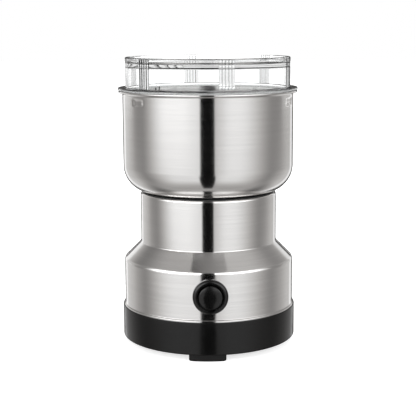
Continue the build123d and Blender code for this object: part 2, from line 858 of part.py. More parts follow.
def thrust_washers():
    """Fibre washers on the shaft, below the lower bush and below the upper one."""
    return [
        tube(washer_radius, shaft_radius, fan_hub_high, lower_hub_low - running_gap),
        tube(washer_radius, shaft_radius, winding_high, upper_hub_low - running_gap),
        tube(washer_radius, shaft_radius, commutator_high, stack_low - winding_end),
    ]


def bush(low):
    """Sintered bush for the shaft."""
    return tube(bush_radius, shaft_radius + running_gap, low, low + bush_length)


def brush_holder():
    """Moulded holder of the brush on the +X side."""
    half = holder_width / 2
    body = block((holder_start, holder_end), (-half, half), (bracket_high, bracket_high + holder_height))
    body = fillet(body.edges().filter_by(Axis.X).group_by(Axis.Z)[-1], 1.5)
    bore = (-brush_bore, brush_bore)
    return body - block((holder_start - 1, holder_end + 1), bore, (brush_z + bore[0], brush_z + bore[1]))


def carbon_brush():
    """Carbon brush on the +X side, its end hollowed to the commutator."""
    half = brush_size / 2
    return block((0, brush_back), (-half, half), (brush_z - half, brush_z + half)) - disc(
        commutator_radius + brush_gap, bracket_low, stack_low
    )


def brush_spring():
    """Spring behind the brush on the +X side."""
    spring = coil_spring(brush_spring_radius, spring_wire, cap_front - brush_back, 3)
    return Plane(origin=(brush_back, 0, brush_z), z_dir=(1, 0, 0)) * spring


def brush_terminal():
    """Brass cap that closes the holder on the +X side, with a tab for the lead."""
    half = brush_bore + 1.2
    bore = (-brush_bore, brush_bore)
    cap = block((cap_front, holder_end), bore, (brush_z + bore[0], brush_z + bore[1]))
    cap += block((holder_end, holder_end + brush_cap), (-half, half), (brush_z - half, brush_z + half))
    return cap + block(
        (holder_end + brush_cap, holder_end + brush_cap + tab_length),
        (-tab_width / 2, tab_width / 2),
        (brush_z - tab_thickness / 2, brush_z + tab_thickness / 2),
    )


def pair(piece):
    """A piece on the +X side and its twin on the other side of the shaft."""
    return [piece, Rot(0, 0, 180) * piece]


# ---------------------------------------------------------------- blade


def blade():
    """Pressed blade with four wings, two lowered and two raised, each pitched to throw the grain up."""
    middle = (blade_low + blade_high) / 2
    outline = Polyline(
        (blade_hub_radius - 3, -blade_root_width / 2), (blade_reach, -blade_tip_width / 2),
        (blade_reach - 3, blade_tip_width / 2), (blade_hub_radius - 3, blade_root_width / 2), close=True,
    )
    wing = Pos(0, 0, -blade_thickness / 2) * extrude(make_face(outline), blade_thickness)
    wing = Rot(blade_pitch, 0, 0) * wing
    star = disc(blade_hub_radius, blade_low, blade_high)
    root = blade_hub_radius - 3
    for i in range(4):
        lift = blade_lift if i % 2 else -blade_drop
        bent = Pos(root, 0, middle) * Rot(0, -lift, 0) * Pos(-root, 0, 0) * wing
        star += Rot(0, 0, i * 90) * bent
    star -= disc(spacer_radius, blade_high, blade_high + 8) + disc(spacer_radius, blade_low - 8, blade_low)
    return star - disc(shaft_tip_radius, blade_low - 9, blade_high + 9)


def cap_nut():
    """Domed nut that holds the blade."""
    high = cap_nut_low + cap_nut_height
    nut = hexagon(cap_nut_flats, cap_nut_low, high - 1.5)
    crown = cap_nut_flats / 2 - 0.2
    dome = turned([(0, high - 2.5), (crown, high - 2.5), (crown, high), (0, high)], [0, 0, 1.8, 0])
    return nut + dome - disc(shaft_tip_radius, cap_nut_low - 1, shaft_top)


# ---------------------------------------------------------------- terminal block and leads


def terminal_block():
    """Two-way terminal block on the floor of the base, at the back."""
    half = block_width / 2
    depth = (block_place - block_depth / 2, block_place + block_depth / 2)
    body = block((-half, half), depth, (floor_high, block_high))
    body = fillet(body.edges().group_by(Axis.Z)[-1], 0.8)
    return body - disc(1.5, floor_high - 1, block_high + 1, 0, block_place)


def terminal_screw():
    """Screw that holds the terminal block to the base."""
    shank = disc(1.5, floor_high, block_high, 0, block_place)
    return shank + disc(2.6, block_high, block_high + 1.6, 0, block_place)


tab_end = -switch_width / 2 - tab_length
tab_y = (switch_front + switch_plate + switch_back) / 2
brush_tab_end = holder_end + brush_cap + tab_length
lead_low = block_high + 5
upper_tab, lower_tab = button_z + tab_spread, button_z - tab_spread

live_route = [
    (-block_way_spread, block_place, block_high),
    (-block_way_spread, block_place, lead_low),
    (*on_circle(lead_circle - 1, 112), lead_low + 1),
    (*on_circle(lead_circle, 148), lead_low),
    (*on_circle(lead_circle, 183), lead_low + 0.5),
    (*on_circle(lead_circle, 214), lead_low + 1),
    (*on_circle(lead_circle, 236), (lead_low + upper_tab) / 2),
    (tab_end - 8, tab_y, upper_tab),
    (tab_end, tab_y, upper_tab),
]
neutral_route = [
    (block_way_spread, block_place, block_high),
    (block_way_spread, block_place, lead_low),
    (*on_circle(lead_circle - 1, 68), lead_low + 3),
    (*on_circle(lead_circle, 40), brush_z - 4),
    (*on_circle(lead_circle, 12), brush_z - 1),
    (brush_tab_end + 5, 0, brush_z),
    (brush_tab_end, 0, brush_z),
]
switched_route = [
    (tab_end, tab_y, lower_tab),
    (tab_end - 7, tab_y, lower_tab),
    (-33, -19, brush_z + 1),
    (-40.5, -6, brush_z + 0.5),
    (-brush_tab_end - 4.5, 0, brush_z),
    (-brush_tab_end, 0, brush_z),
]

# ---------------------------------------------------------------- every piece by its name

nodes = {
    "base_cup": base_cup(),
    "rubber_feet": [foot(angle) for angle in foot_angles],
    "base_screws": [base_screw(*place) for place in boss_places],
    "cord_gland": cord_gland(),
    "body_shell": body_shell(),
    "bowl_gasket": bowl_gasket(),
    "bowl": bowl(),
    "bowl_stud_nuts": [stud_nut(*place) for place in stud_places],
    "bowl_ring_washer": tube(ring_nut_radius, tower_radius, bowl_floor, bowl_floor + ring_washer_thickness),
    "bowl_ring_nut": ring_nut(),
    "lid": lid(),
    "lid_seal": lid_seal(),
    "button_bezel": button_bezel(),
    "bezel_nut": bezel_nut(),
    "button_cap": button_cap(),
    "button_spring": button_spring(),
    "switch_housing": switch_housing(),
    "switch_tabs": switch_tabs(),
    "lower_bracket": lower_bracket(),
    "upper_bracket": upper_bracket(),
    "through_bolts": [through_bolt(*place) for place in bolt_places],
    "lower_bush": bush(lower_hub_low),
    "upper_bush": bush(upper_hub_low),
    "shaft_seal": shaft_seal(),
    "stator_core": stator_core(),
    "field_coils": [field_coil(1), field_coil(-1)],
    "brush_holders": pair(brush_holder()),
    "carbon_brushes": pair(carbon_brush()),
    "brush_springs": pair(brush_spring()),
    "brush_terminals": pair(brush_terminal()),
    "rotor_shaft": rotor_shaft(),
    "rotor_core": rotor_core(),
    "rotor_windings": rotor_windings(),
    "commutator": commutator(),
    "thrust_washers": thrust_washers(),
    "cooling_fan": cooling_fan(),
    "blade_spacer": tube(spacer_radius, shaft_tip_radius, shaft_shoulder, blade_low),
    "blade": blade(),
    "blade_washer": tube(spacer_radius, shaft_tip_radius, blade_high, cap_nut_low),
    "blade_cap_nut": cap_nut(),
    "terminal_block": terminal_block(),
    "terminal_block_screw": terminal_screw(),
    "lead_live": lead(live_route),
    "lead_switched": lead(switched_route),
    "lead_neutral": lead(neutral_route),
}

os.makedirs("parts", exist_ok=True)
for name, piece in nodes.items():
    export_step(Compound(piece) if isinstance(piece, list) else piece, f"parts/{name}.step")
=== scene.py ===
"""Looks of an electric grain mill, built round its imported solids.

Sizes are in millimetres and angles in degrees unless a name says otherwise. Z is up, the button
faces -Y, and the motor shaft is the Z axis. Meshes are made in metres by the modelling helpers.
"""

import json
import logging
import math
from collections.abc import Callable
from dataclasses import dataclass
from enum import Enum
from functools import reduce

import bpy
import numpy as np
from mathutils import Matrix, Vector

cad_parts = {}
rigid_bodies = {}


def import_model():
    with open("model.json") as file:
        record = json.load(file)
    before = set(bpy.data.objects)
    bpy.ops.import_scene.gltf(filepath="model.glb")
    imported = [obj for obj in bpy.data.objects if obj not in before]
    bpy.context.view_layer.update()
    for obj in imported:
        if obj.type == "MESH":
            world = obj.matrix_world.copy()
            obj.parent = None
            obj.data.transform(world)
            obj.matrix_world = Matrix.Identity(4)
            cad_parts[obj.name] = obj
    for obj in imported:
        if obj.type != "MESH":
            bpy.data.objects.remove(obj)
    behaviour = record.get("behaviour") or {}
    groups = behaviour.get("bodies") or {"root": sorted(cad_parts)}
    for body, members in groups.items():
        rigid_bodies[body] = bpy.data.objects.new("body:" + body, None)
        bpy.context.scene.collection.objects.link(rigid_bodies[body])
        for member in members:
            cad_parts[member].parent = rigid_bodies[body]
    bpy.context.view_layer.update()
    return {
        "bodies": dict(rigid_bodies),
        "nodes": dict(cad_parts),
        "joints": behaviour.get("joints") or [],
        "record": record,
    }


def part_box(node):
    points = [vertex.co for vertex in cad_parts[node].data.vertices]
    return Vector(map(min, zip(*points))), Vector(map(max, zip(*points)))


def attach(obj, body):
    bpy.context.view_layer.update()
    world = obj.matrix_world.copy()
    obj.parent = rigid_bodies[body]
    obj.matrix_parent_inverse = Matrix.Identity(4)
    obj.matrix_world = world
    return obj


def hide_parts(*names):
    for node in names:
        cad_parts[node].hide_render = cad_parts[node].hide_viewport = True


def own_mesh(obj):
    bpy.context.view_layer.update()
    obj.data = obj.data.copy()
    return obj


LOG = logging.getLogger("grain_mill")
MM = 0.001
MERGE = 2e-6  # metres within which points become one
SAME = 1e-6  # millimetres within which two places are the same
NEAR = 1e-3  # millimetres within which a point lies on a surface
SHARP = 32.0  # degrees between faces from which an edge stays sharp
EIGHTH = math.pi / 4
ROD_SIDES = 96
GRAIN_HEIGHT = 0.0001  # metres of a bump of strength 1
THIRDS = (0.0, 120.0, 240.0)

Point = tuple[float, float]
Place = tuple[float, float, float]
Span = tuple[float, ...]
Colour = tuple[float, float, float]
Mover = Callable[[np.ndarray], np.ndarray]
Piece = bpy.types.Object
Material = bpy.types.Material
Socket = bpy.types.NodeSocket


class Turn(Enum):
    """Axis that an outline is spun about."""

    SHAFT = (0.0, 0.0, 1.0)
    BUTTON = (0.0, 1.0, 0.0)


# ---------------------------------------------------------------- outlines


def rounded(points: list[Point], radii: list[float], step: float = 7.0) -> list[Point]:
    """Closed outline whose corners are tangent arcs.

    Args:
        points: Corners in order, as (radius, place along the axis).
        radii: Radius of each corner's arc, 0 for a sharp one.
        step: Most degrees of turn between two points of an arc.

    Returns:
        The outline's points, with the first not repeated.
    """
    outline = []
    for i, corner in enumerate(points):
        here, before, after = (np.array(p) for p in (corner, points[i - 1], points[(i + 1) % len(points)]))
        if not radii[i]:
            outline.append(corner)
            continue
        back, ahead = before - here, after - here
        back, ahead = back / np.linalg.norm(back), ahead / np.linalg.norm(ahead)
        half = math.acos(float(np.clip(back @ ahead, -1, 1))) / 2
        middle = here + (back + ahead) / np.linalg.norm(back + ahead) * radii[i] / math.sin(half)
        start, end = here + back * radii[i] / math.tan(half), here + ahead * radii[i] / math.tan(half)
        first = math.atan2(*(start - middle)[::-1])
        turn = (math.atan2(*(end - middle)[::-1]) - first + math.pi) % (2 * math.pi) - math.pi
        count = max(2, math.ceil(abs(math.degrees(turn)) / step))
        for k in range(count + 1):
            angle = first + turn * k / count
            outline.append((middle[0] + radii[i] * math.cos(angle), middle[1] + radii[i] * math.sin(angle)))
    return outline


def inset_path(points: list[Point], wall: float) -> list[Point]:
    """Line laid one wall to the left of an open path.

    Args:
        points: Path, in order.
        wall: Distance between the two lines.

    Returns:
        As many points as the path has.
    """
    laid = []
    for i, corner in enumerate(points):
        here = np.array(corner)
        runs = []
        if i:
            runs.append(here - np.array(points[i - 1]))
        if i < len(points) - 1:
            runs.append(np.array(points[i + 1]) - here)
        normals = [np.array((-r[1], r[0])) / np.linalg.norm(r) for r in runs]
        share = wall / (1 + (normals[0] @ normals[-1]) if len(normals) > 1 else 1)
        laid.append(tuple(here + share * sum(normals)))
    return laid


def sheet_outline(points: list[Point], radii: list[float], wall: float) -> list[Point]:
    """Closed outline of bent sheet metal.

    Args:
        points: Corners of the outside of the sheet.
        radii: Bend at each corner, on the outside; the ends have none.
        wall: Thickness, laid to the left.

    Returns:
        The closed outline, ready to spin.
    """
    inner = inset_path(points, wall)
    bends = []
    for i, radius in enumerate(radii):
        if not radius:
            bends.append(0.0)
            continue
        run, next_run = np.subtract(points[i], points[i - 1]), np.subtract(points[i + 1], points[i])
        left = run[0] * next_run[1] - run[1] * next_run[0] > 0
        bends.append(max(radius - wall, 0.0) if left else radius + wall)
    return rounded(points + inner[::-1], radii + bends[::-1])


def smooth_step(values: np.ndarray, low: float, high: float) -> np.ndarray:
    """Smooth step of values from 0 at low to 1 at high."""
    share = np.clip((values - low) / (high - low), 0, 1)
    return share * share * (3 - 2 * share)


# ---------------------------------------------------------------- modelling


def deselect() -> None:
    """Leaves object mode with nothing selected."""
    if bpy.context.object and bpy.context.object.mode != "OBJECT":
        bpy.ops.object.mode_set(mode="OBJECT")
    bpy.ops.object.select_all(action="DESELECT")


def pick(*pieces: Piece) -> None:
    """Selects these pieces alone, the first of them active."""
    deselect()
    for piece in pieces:
        piece.select_set(True)
    bpy.context.view_layer.objects.active = pieces[0]


def named(piece: Piece, name: str) -> Piece:
    """Gives a piece and its mesh their name."""
    piece.name = piece.data.name = name
    return piece


def smooth(piece: Piece) -> None:
    """Shades a piece smooth, but for its sharp edges."""
    pick(piece)
    bpy.ops.object.shade_smooth_by_angle(angle=math.radians(SHARP))


def spun(name: str, outline: list[Point], steps: int, about: Turn = Turn.SHAFT, height: float = 0.0) -> Piece:
    """Closed solid spun from a closed outline.

    An eighth of the turn is spun, and copied round three times, each time doubled.

    Args:
        name: Name of the new piece.
        outline: Points of (radius, place along the axis).
        steps: Copies of the outline round the axis, a multiple of 8.
        about: Axis to spin about.
        height: Height of a level axis above the floor.

    Returns:
        The piece, with its normals outwards.
    """
    deselect()
    shaft = about is Turn.SHAFT
    centre = Vector((0, 0, 0 if shaft else height)) * MM
    places = [Vector((r, 0, a) if shaft else (r, a, height)) * MM for r, a in outline]
    bpy.ops.mesh.primitive_plane_add(size=MM, location=(0, 0, 0))
    piece = named(bpy.context.object, name)
    bpy.ops.object.mode_set(mode="EDIT")
    bpy.ops.mesh.select_all(action="SELECT")
    bpy.ops.mesh.merge(type="CENTER")
    bpy.ops.transform.translate(value=places[0])
    for here, there in zip(places, places[1:] + places[:1]):
        bpy.ops.mesh.extrude_region_move(TRANSFORM_OT_translate={"value": there - here})
    bpy.ops.mesh.select_all(action="SELECT")
    bpy.ops.mesh.remove_doubles(threshold=MERGE)
    bpy.ops.mesh.spin(steps=steps // 8, angle=EIGHTH, center=centre, axis=about.value)
    for eighths in (1, 2, 4):
        bpy.ops.mesh.select_all(action="SELECT")
        bpy.ops.mesh.duplicate()
        bpy.ops.transform.rotate(
            value=eighths * EIGHTH, orient_axis="Z" if shaft else "Y", orient_type="GLOBAL",
            center_override=centre,
        )
    bpy.ops.mesh.select_all(action="SELECT")
    bpy.ops.mesh.remove_doubles(threshold=MERGE)
    bpy.ops.mesh.normals_make_consistent(inside=False)
    bpy.ops.object.mode_set(mode="OBJECT")
    return piece


def reshape(piece: Piece, mover: Mover) -> None:
    """Moves a piece's points by a function of them.

    Args:
        piece: Piece to change.
        mover: Takes an array of points in millimetres and returns the moved ones.
    """
    mesh = piece.data
    points = np.empty(len(mesh.vertices) * 3)
    mesh.vertices.foreach_get("co", points)
    mesh.vertices.foreach_set("co", (mover(points.reshape(-1, 3) / MM) * MM).ravel())
    mesh.update()


def polar(points: np.ndarray) -> tuple[np.ndarray, np.ndarray]:
    """Radius and angle in degrees about the shaft, of an array of points."""
    return np.hypot(points[:, 0], points[:, 1]), np.degrees(np.arctan2(points[:, 1], points[:, 0]))


def with_radius(points: np.ndarray, radius: np.ndarray) -> np.ndarray:
    """Points moved straight out or in, to new radii from the shaft."""
    old = np.hypot(points[:, 0], points[:, 1])
    scale = np.divide(radius, old, out=np.ones_like(old), where=old > SAME)
    return points * np.stack([scale, scale, np.ones_like(scale)], axis=1)


def angle_off(angles: np.ndarray, middle: float) -> np.ndarray:
    """Signed degrees between angles and a middle one, within half a turn."""
    return (angles - middle + 180) % 360 - 180


def cut(piece: Piece, tool: Piece) -> None:
    """Takes one piece out of another with a boolean modifier, then deletes it."""
    pick(piece)
    modifier = piece.modifiers.new("cut", "BOOLEAN")
    modifier.operation, modifier.solver, modifier.object = "DIFFERENCE", "EXACT", tool
    bpy.ops.object.modifier_apply(modifier=modifier.name)
    bpy.data.objects.remove(tool)


def rod(
    radius: float, low: float, high: float, height: float = 0.0, place: Point = (0.0, 0.0),
    level: bool = False,
) -> Piece:
    """Round rod to cut a hole with.

    Args:
        radius: Its radius.
        low: Its lower end along its axis.
        high: Its upper end along its axis.
        height: Height of a level rod's axis.
        place: Place of an upright rod.
        level: Whether it lies along Y.

    Returns:
        The rod.
    """
    deselect()
    middle = (low + high) / 2
    bpy.ops.mesh.primitive_cylinder_add(
        vertices=ROD_SIDES, radius=radius * MM, depth=(high - low) * MM,
        location=Vector((0, middle, height) if level else (*place, middle)) * MM,
        rotation=(math.pi / 2 if level else 0, 0, 0),
    )
    bpy.ops.object.transform_apply(location=True, rotation=True, scale=True)
    return bpy.context.object


def joined(parts: list[Piece]) -> Piece:
    """Joins parts into the first of them, with their places in its mesh."""
    pick(*parts)
    bpy.ops.object.transform_apply(location=True, rotation=True, scale=True)
    bpy.ops.object.join()
    return bpy.context.object


# ---------------------------------------------------------------- node graphs


def grey(level: float) -> Colour:
    """Grey of a level."""
    return (level, level, level)


class Graph:
    """A node tree with short ways to add nodes and to link them."""

    def __init__(self, tree: bpy.types.NodeTree) -> None:
        """Wraps a tree."""
        self.tree = tree

    def add(self, kind: str, inputs: dict | None = None, **settings: object) -> bpy.types.Node:
        """Adds a node.

        Args:
            kind: Node type.
            inputs: Values or sockets by input name or number.
            **settings: Attributes of the node.

        Returns:
            The new node.
        """
        node = self.tree.nodes.new(kind)
        for key, value in settings.items():
            setattr(node, key, value)
        for key, value in (inputs or {}).items():
            if isinstance(value, Socket):
                self.tree.links.new(value, node.inputs[key])
            else:
                node.inputs[key].default_value = value
        return node

    def math(self, operation: str, first: object, second: object = 0.0) -> Socket:
        """Result of a Math node."""
        return self.add("ShaderNodeMath", {0: first, 1: second}, operation=operation).outputs[0]

    def plus(self, *values: object) -> Socket:
        """Sum of two or more values."""
        return reduce(lambda first, second: self.math("ADD", first, second), values)

    def times(self, *values: object) -> Socket:
        """Product of two or more values."""
        return reduce(lambda first, second: self.math("MULTIPLY", first, second), values)

    def vector(self, operation: str, first: object, second: object = (0.0, 0.0, 0.0)) -> Socket:
        """Result of a Vector Math node, a number where the operation gives one."""
        node = self.add("ShaderNodeVectorMath", {0: first, 1: second}, operation=operation)
        return node.outputs["Value" if operation in ("DOT_PRODUCT", "LENGTH") else "Vector"]

    def noise(self, place: Socket, scale: object, detail: float) -> Socket:
        """Value of a noise."""
        inputs = {"Vector": place, "Scale": scale, "Detail": detail}
        return self.add("ShaderNodeTexNoise", inputs).outputs["Fac"]

    def bump(self, height: Socket, strength: float, distance: float) -> Socket:
        """Normal of a bump, whose distance is in metres."""
        inputs = {"Strength": strength, "Distance": distance, "Height": height}
        return self.add("ShaderNodeBump", inputs).outputs[0]

    def span(
        self, value: object, low: object, high: object, to_low: float = 0.0, to_high: float = 1.0,
        soft: bool = True,
    ) -> Socket:
        """A value taken from one range to another, smoothly unless it is told not to."""
        inputs = {"Value": value, "From Min": low, "From Max": high, "To Min": to_low, "To Max": to_high}
        kind = "SMOOTHSTEP" if soft else "LINEAR"
        return self.add("ShaderNodeMapRange", inputs, interpolation_type=kind).outputs["Result"]

    def mix(self, factor: object, first: object, second: object, blend: str = "MIX") -> Socket:
        """Colour between two others, or the two blended in another way."""
        node = self.add("ShaderNodeMix", data_type="RGBA", blend_type=blend)
        for socket, value in ((node.inputs[0], factor), (node.inputs[6], first), (node.inputs[7], second)):
            if isinstance(value, Socket):
                self.tree.links.new(value, socket)
            else:
                socket.default_value = (*value, 1.0) if isinstance(value, tuple) else value
        return node.outputs[2]


def cleared(block: Material | bpy.types.World) -> Graph:
    """Empty graph of a new material or world."""
    block.use_nodes = True
    block.node_tree.nodes.clear()
    return Graph(block.node_tree)


def effect(name: str, inputs: dict[str, float], build: Callable[[Graph, dict], dict]) -> bpy.types.NodeTree:
    """Shader node group, built once.

    Args:
        name: Name of the group.
        inputs: Its number inputs with their defaults; it always has a Vector input too.
        build: Takes the graph and the input sockets, and returns the output sockets by name.

    Returns:
        The group.
    """
    group = bpy.data.node_groups.get(name)
    if group:
        return group
    group = bpy.data.node_groups.new(name, "ShaderNodeTree")
    group.interface.new_socket("Vector", in_out="INPUT", socket_type="NodeSocketVector")
    for key, value in inputs.items():
        socket = group.interface.new_socket(key, in_out="INPUT", socket_type="NodeSocketFloat")
        socket.default_value = value
    graph = Graph(group)
    entry = graph.add("NodeGroupInput")
    outputs = build(graph, {socket.name: socket for socket in entry.outputs if socket.name})
    for key in outputs:
        group.interface.new_socket(key, in_out="OUTPUT", socket_type="NodeSocketFloat")
    graph.add("NodeGroupOutput", outputs)
    return group


def seen_straight(graph: Graph) -> Socket:
    """1 for rays that the camera sends, also through clear pieces, and 0 once they are mirrored."""
    path = graph.add("ShaderNodeLightPath").outputs
    unmirrored = graph.math("LESS_THAN", path["Glossy Depth"], 0.5)
    return graph.math("MAXIMUM", path["Is Camera Ray"], graph.times(path["Is Transmission Ray"], unmirrored))


def brushing() -> bpy.types.NodeTree:
    """Group of fine lines that run round the shaft, with broader bands among them."""

    def build(graph: Graph, inputs: dict) -> dict:
        """Two noises, drawn out sideways."""
        found = []
        for key, along in (("Fine", 26.0), ("Broad", 12.0)):
            scale = graph.add("ShaderNodeCombineXYZ", {"X": along, "Y": along, "Z": inputs[key]}).outputs[0]
            found.append(graph.noise(graph.vector("MULTIPLY", inputs["Vector"], scale), 1.0, 3.0))
        fine, broad = found
        return {"Lines": graph.plus(graph.times(fine, 0.65), graph.times(broad, 0.35)), "Bands": broad}

    return effect("brushed_lines", {"Fine": 5200.0, "Broad": 900.0}, build)


def handling() -> bpy.types.NodeTree:
    """Group of soft smudges, as hands leave on a clean appliance."""

    def build(graph: Graph, inputs: dict) -> dict:
        """Broad noise, kept to its higher parts."""
        return {"Smudge": graph.span(graph.noise(inputs["Vector"], inputs["Size"], 4.0), 0.5, 0.72)}

    return effect("handling_marks", {"Size": 38.0}, build)


def rib_side_painted_shade() -> bpy.types.NodeTree:
    """Group of a mask for painted shade on the sides of upright ribs, which face along the wall."""

    def build(graph: Graph, inputs: dict) -> dict:
        """Size of the normal's part that is level and square to the radius."""
        radial = graph.vector("NORMALIZE", graph.vector("MULTIPLY", inputs["Vector"], (1.0, 1.0, 0.0)))
        along = graph.vector("CROSS_PRODUCT", (0.0, 0.0, 1.0), radial)
        turned = graph.vector("DOT_PRODUCT", graph.add("ShaderNodeTexCoord").outputs["Normal"], along)
        return {"Flank": graph.span(graph.math("ABSOLUTE", turned), inputs["Low"], inputs["High"])}

    return effect("rib_flanks", {"Low": 0.45, "High": 0.8}, build)


def moulding() -> bpy.types.NodeTree:
    """Group of fine grain, as spark-eroded moulds leave on plastic and rubber."""

    def build(graph: Graph, inputs: dict) -> dict:
        """Fine noise and coarser noise."""
        place = inputs["Vector"]
        return {"Grain": graph.noise(place, inputs["Grain"], 2.0), "Cloud": graph.noise(place, 160.0, 3.0)}

    return effect("moulded_grain", {"Grain": 2600.0}, build)


# ---------------------------------------------------------------- finishes


@dataclass(frozen=True)
class Finish:
    """What every finish has: a name and a colour."""

    name: str
    colour: Colour

    def start(self) -> tuple[Material, Graph, Socket]:
        """Empty material.

        Returns:
            The material, its graph and object coordinates.
        """
        material = bpy.data.materials.new(self.name)
        graph = cleared(material)
        return material, graph, graph.add("ShaderNodeTexCoord").outputs["Object"]

    def use(self, graph: Graph, group: bpy.types.NodeTree, place: Socket, **values: float) -> dict:
        """Outputs of a shared effect, placed in this finish with its own values."""
        return graph.add("ShaderNodeGroup", {"Vector": place, **values}, node_tree=group).outputs

    def shades(self, share: float) -> tuple[Colour, Colour]:
        """The colour made darker and lighter by a share."""
        darker = tuple(c * (1 - share) for c in self.colour)
        return darker, tuple(min(c * (1 + share), 1.0) for c in self.colour)

    def shade(self, graph: Graph, inputs: dict) -> None:
        """Adds the shader, in the plain colour unless its inputs say otherwise."""
        shader = graph.add("ShaderNodeBsdfPrincipled", {"Base Color": (*self.colour, 1.0), **inputs})
        graph.add("ShaderNodeOutputMaterial", {"Surface": shader.outputs[0]})


@dataclass(frozen=True)
class SheetSteel(Finish):
    """Stainless sheet, polished and then brushed round the shaft."""

    roughness: float = 0.13
    spread: float = 0.012
    line_shade: float = 0.025
    line_depth: float = 0.035
    stretch: float = 0.8

    def material(self) -> Material:
        """Brushed metal with faint bands and smudges."""
        material, graph, place = self.start()
        lines = self.use(graph, brushing(), place)
        smudge = self.use(graph, handling(), place)["Smudge"]
        ends = self.roughness - self.spread, self.roughness + self.spread
        rough = graph.span(lines["Bands"], 0.3, 0.7, *ends)
        self.shade(graph, {
            "Base Color": graph.mix(graph.span(lines["Lines"], 0.36, 0.64), *self.shades(self.line_shade)),
            "Roughness": graph.plus(rough, graph.times(smudge, self.spread)),
            "Normal": graph.bump(lines["Lines"], self.line_depth, 0.00004),
            "Metallic": 1.0, "Anisotropic": self.stretch, "Anisotropic Rotation": 0.25,
        })
        return material


@dataclass(frozen=True)
class Metal(Finish):
    """Turned, pressed, cast or plated metal."""

    roughness: float = 0.3
    grain: float = 1400.0
    depth: float = 0.1
    patch: float = 0.08

    def material(self) -> Material:
        """Metal with fine grain and cloudy roughness."""
        material, graph, place = self.start()
        grain = self.use(graph, moulding(), place, Grain=self.grain)
        self.shade(graph, {
            "Base Color": graph.mix(grain["Cloud"], *self.shades(self.patch)),
            "Roughness": graph.span(grain["Cloud"], 0.3, 0.7, self.roughness * 0.8, self.roughness * 1.25),
            "Normal": graph.bump(grain["Grain"], self.depth, GRAIN_HEIGHT),
            "Metallic": 1.0,
        })
        return material


@dataclass(frozen=True)
class Layered(Finish):
    """Stacked sheets or wound wire: fine ridges one over another."""

    ridges: float = 1300.0
    roughness: float = 0.4
    ridge_shade: float = 0.3

    def material(self) -> Material:
        """Ridges as colour and bump."""
        material, graph, place = self.start()
        wave = graph.add("ShaderNodeTexWave", {
            "Vector": place, "Scale": self.ridges, "Distortion": 0.6, "Detail": 1.0, "Detail Scale": 0.4,
        }, wave_type="BANDS", bands_direction="Z").outputs["Fac"]
        self.shade(graph, {
            "Base Color": graph.mix(wave, *self.shades(self.ridge_shade)),
            "Roughness": self.roughness,
            "Normal": graph.bump(wave, 0.5, 0.0002),
            "Metallic": 1.0,
        })
        return material


@dataclass(frozen=True)
class Moulded(Finish):
    """Moulded plastic or rubber."""

    roughness: float = 0.35
    grain: float = 2600.0
    depth: float = 0.06
    specular: float = 0.5
    spread: float = 0.03
    patch: float = 0.15

    def material(self) -> Material:
        """Plastic with mould grain and faint handling marks."""
        material, graph, place = self.start()
        grain = self.use(graph, moulding(), place, Grain=self.grain)
        smudge = self.use(graph, handling(), place)["Smudge"]
        ends = self.roughness - self.spread, self.roughness + self.spread
        rough = graph.span(grain["Cloud"], 0.3, 0.7, *ends)
        self.shade(graph, {
            "Base Color": graph.mix(grain["Cloud"], *self.shades(self.patch)),
            "Roughness": graph.plus(rough, graph.times(smudge, 0.04)),
            "Normal": graph.bump(grain["Grain"], self.depth, GRAIN_HEIGHT),
            "Specular IOR Level": self.specular,
        })
        return material


@dataclass(frozen=True)
class Clear(Finish):
    """Clear moulded plastic or translucent silicone."""

    roughness: float = 0.004
    index: float = 1.49
    clearness: float = 1.0
    # Share by which painted shade darkens the sides of the ribs
    flank_shade: float = 0.0

    def material(self) -> Material:
        """Glass-like shader with very slight waves from the mould, and painted shade that darkens the sides
        of its ribs.
        """
        material, graph, place = self.start()
        smudge = self.use(graph, handling(), place)["Smudge"]
        inputs = {
            "Roughness": graph.plus(graph.times(smudge, 0.004), self.roughness),
            "Normal": graph.bump(graph.noise(place, 22.0, 0.0), 0.006, 0.0002),
            "Transmission Weight": self.clearness, "IOR": self.index,
        }
        # Painted shade: the sides of the ribs, whose normal faces along the wall, are coloured darker
        if self.flank_shade:
            painted_rib_shade = self.use(graph, rib_side_painted_shade(), place)["Flank"]
            inputs["Base Color"] = graph.mix(painted_rib_shade, self.colour, self.shades(self.flank_shade)[0])
        self.shade(graph, inputs)
        return material


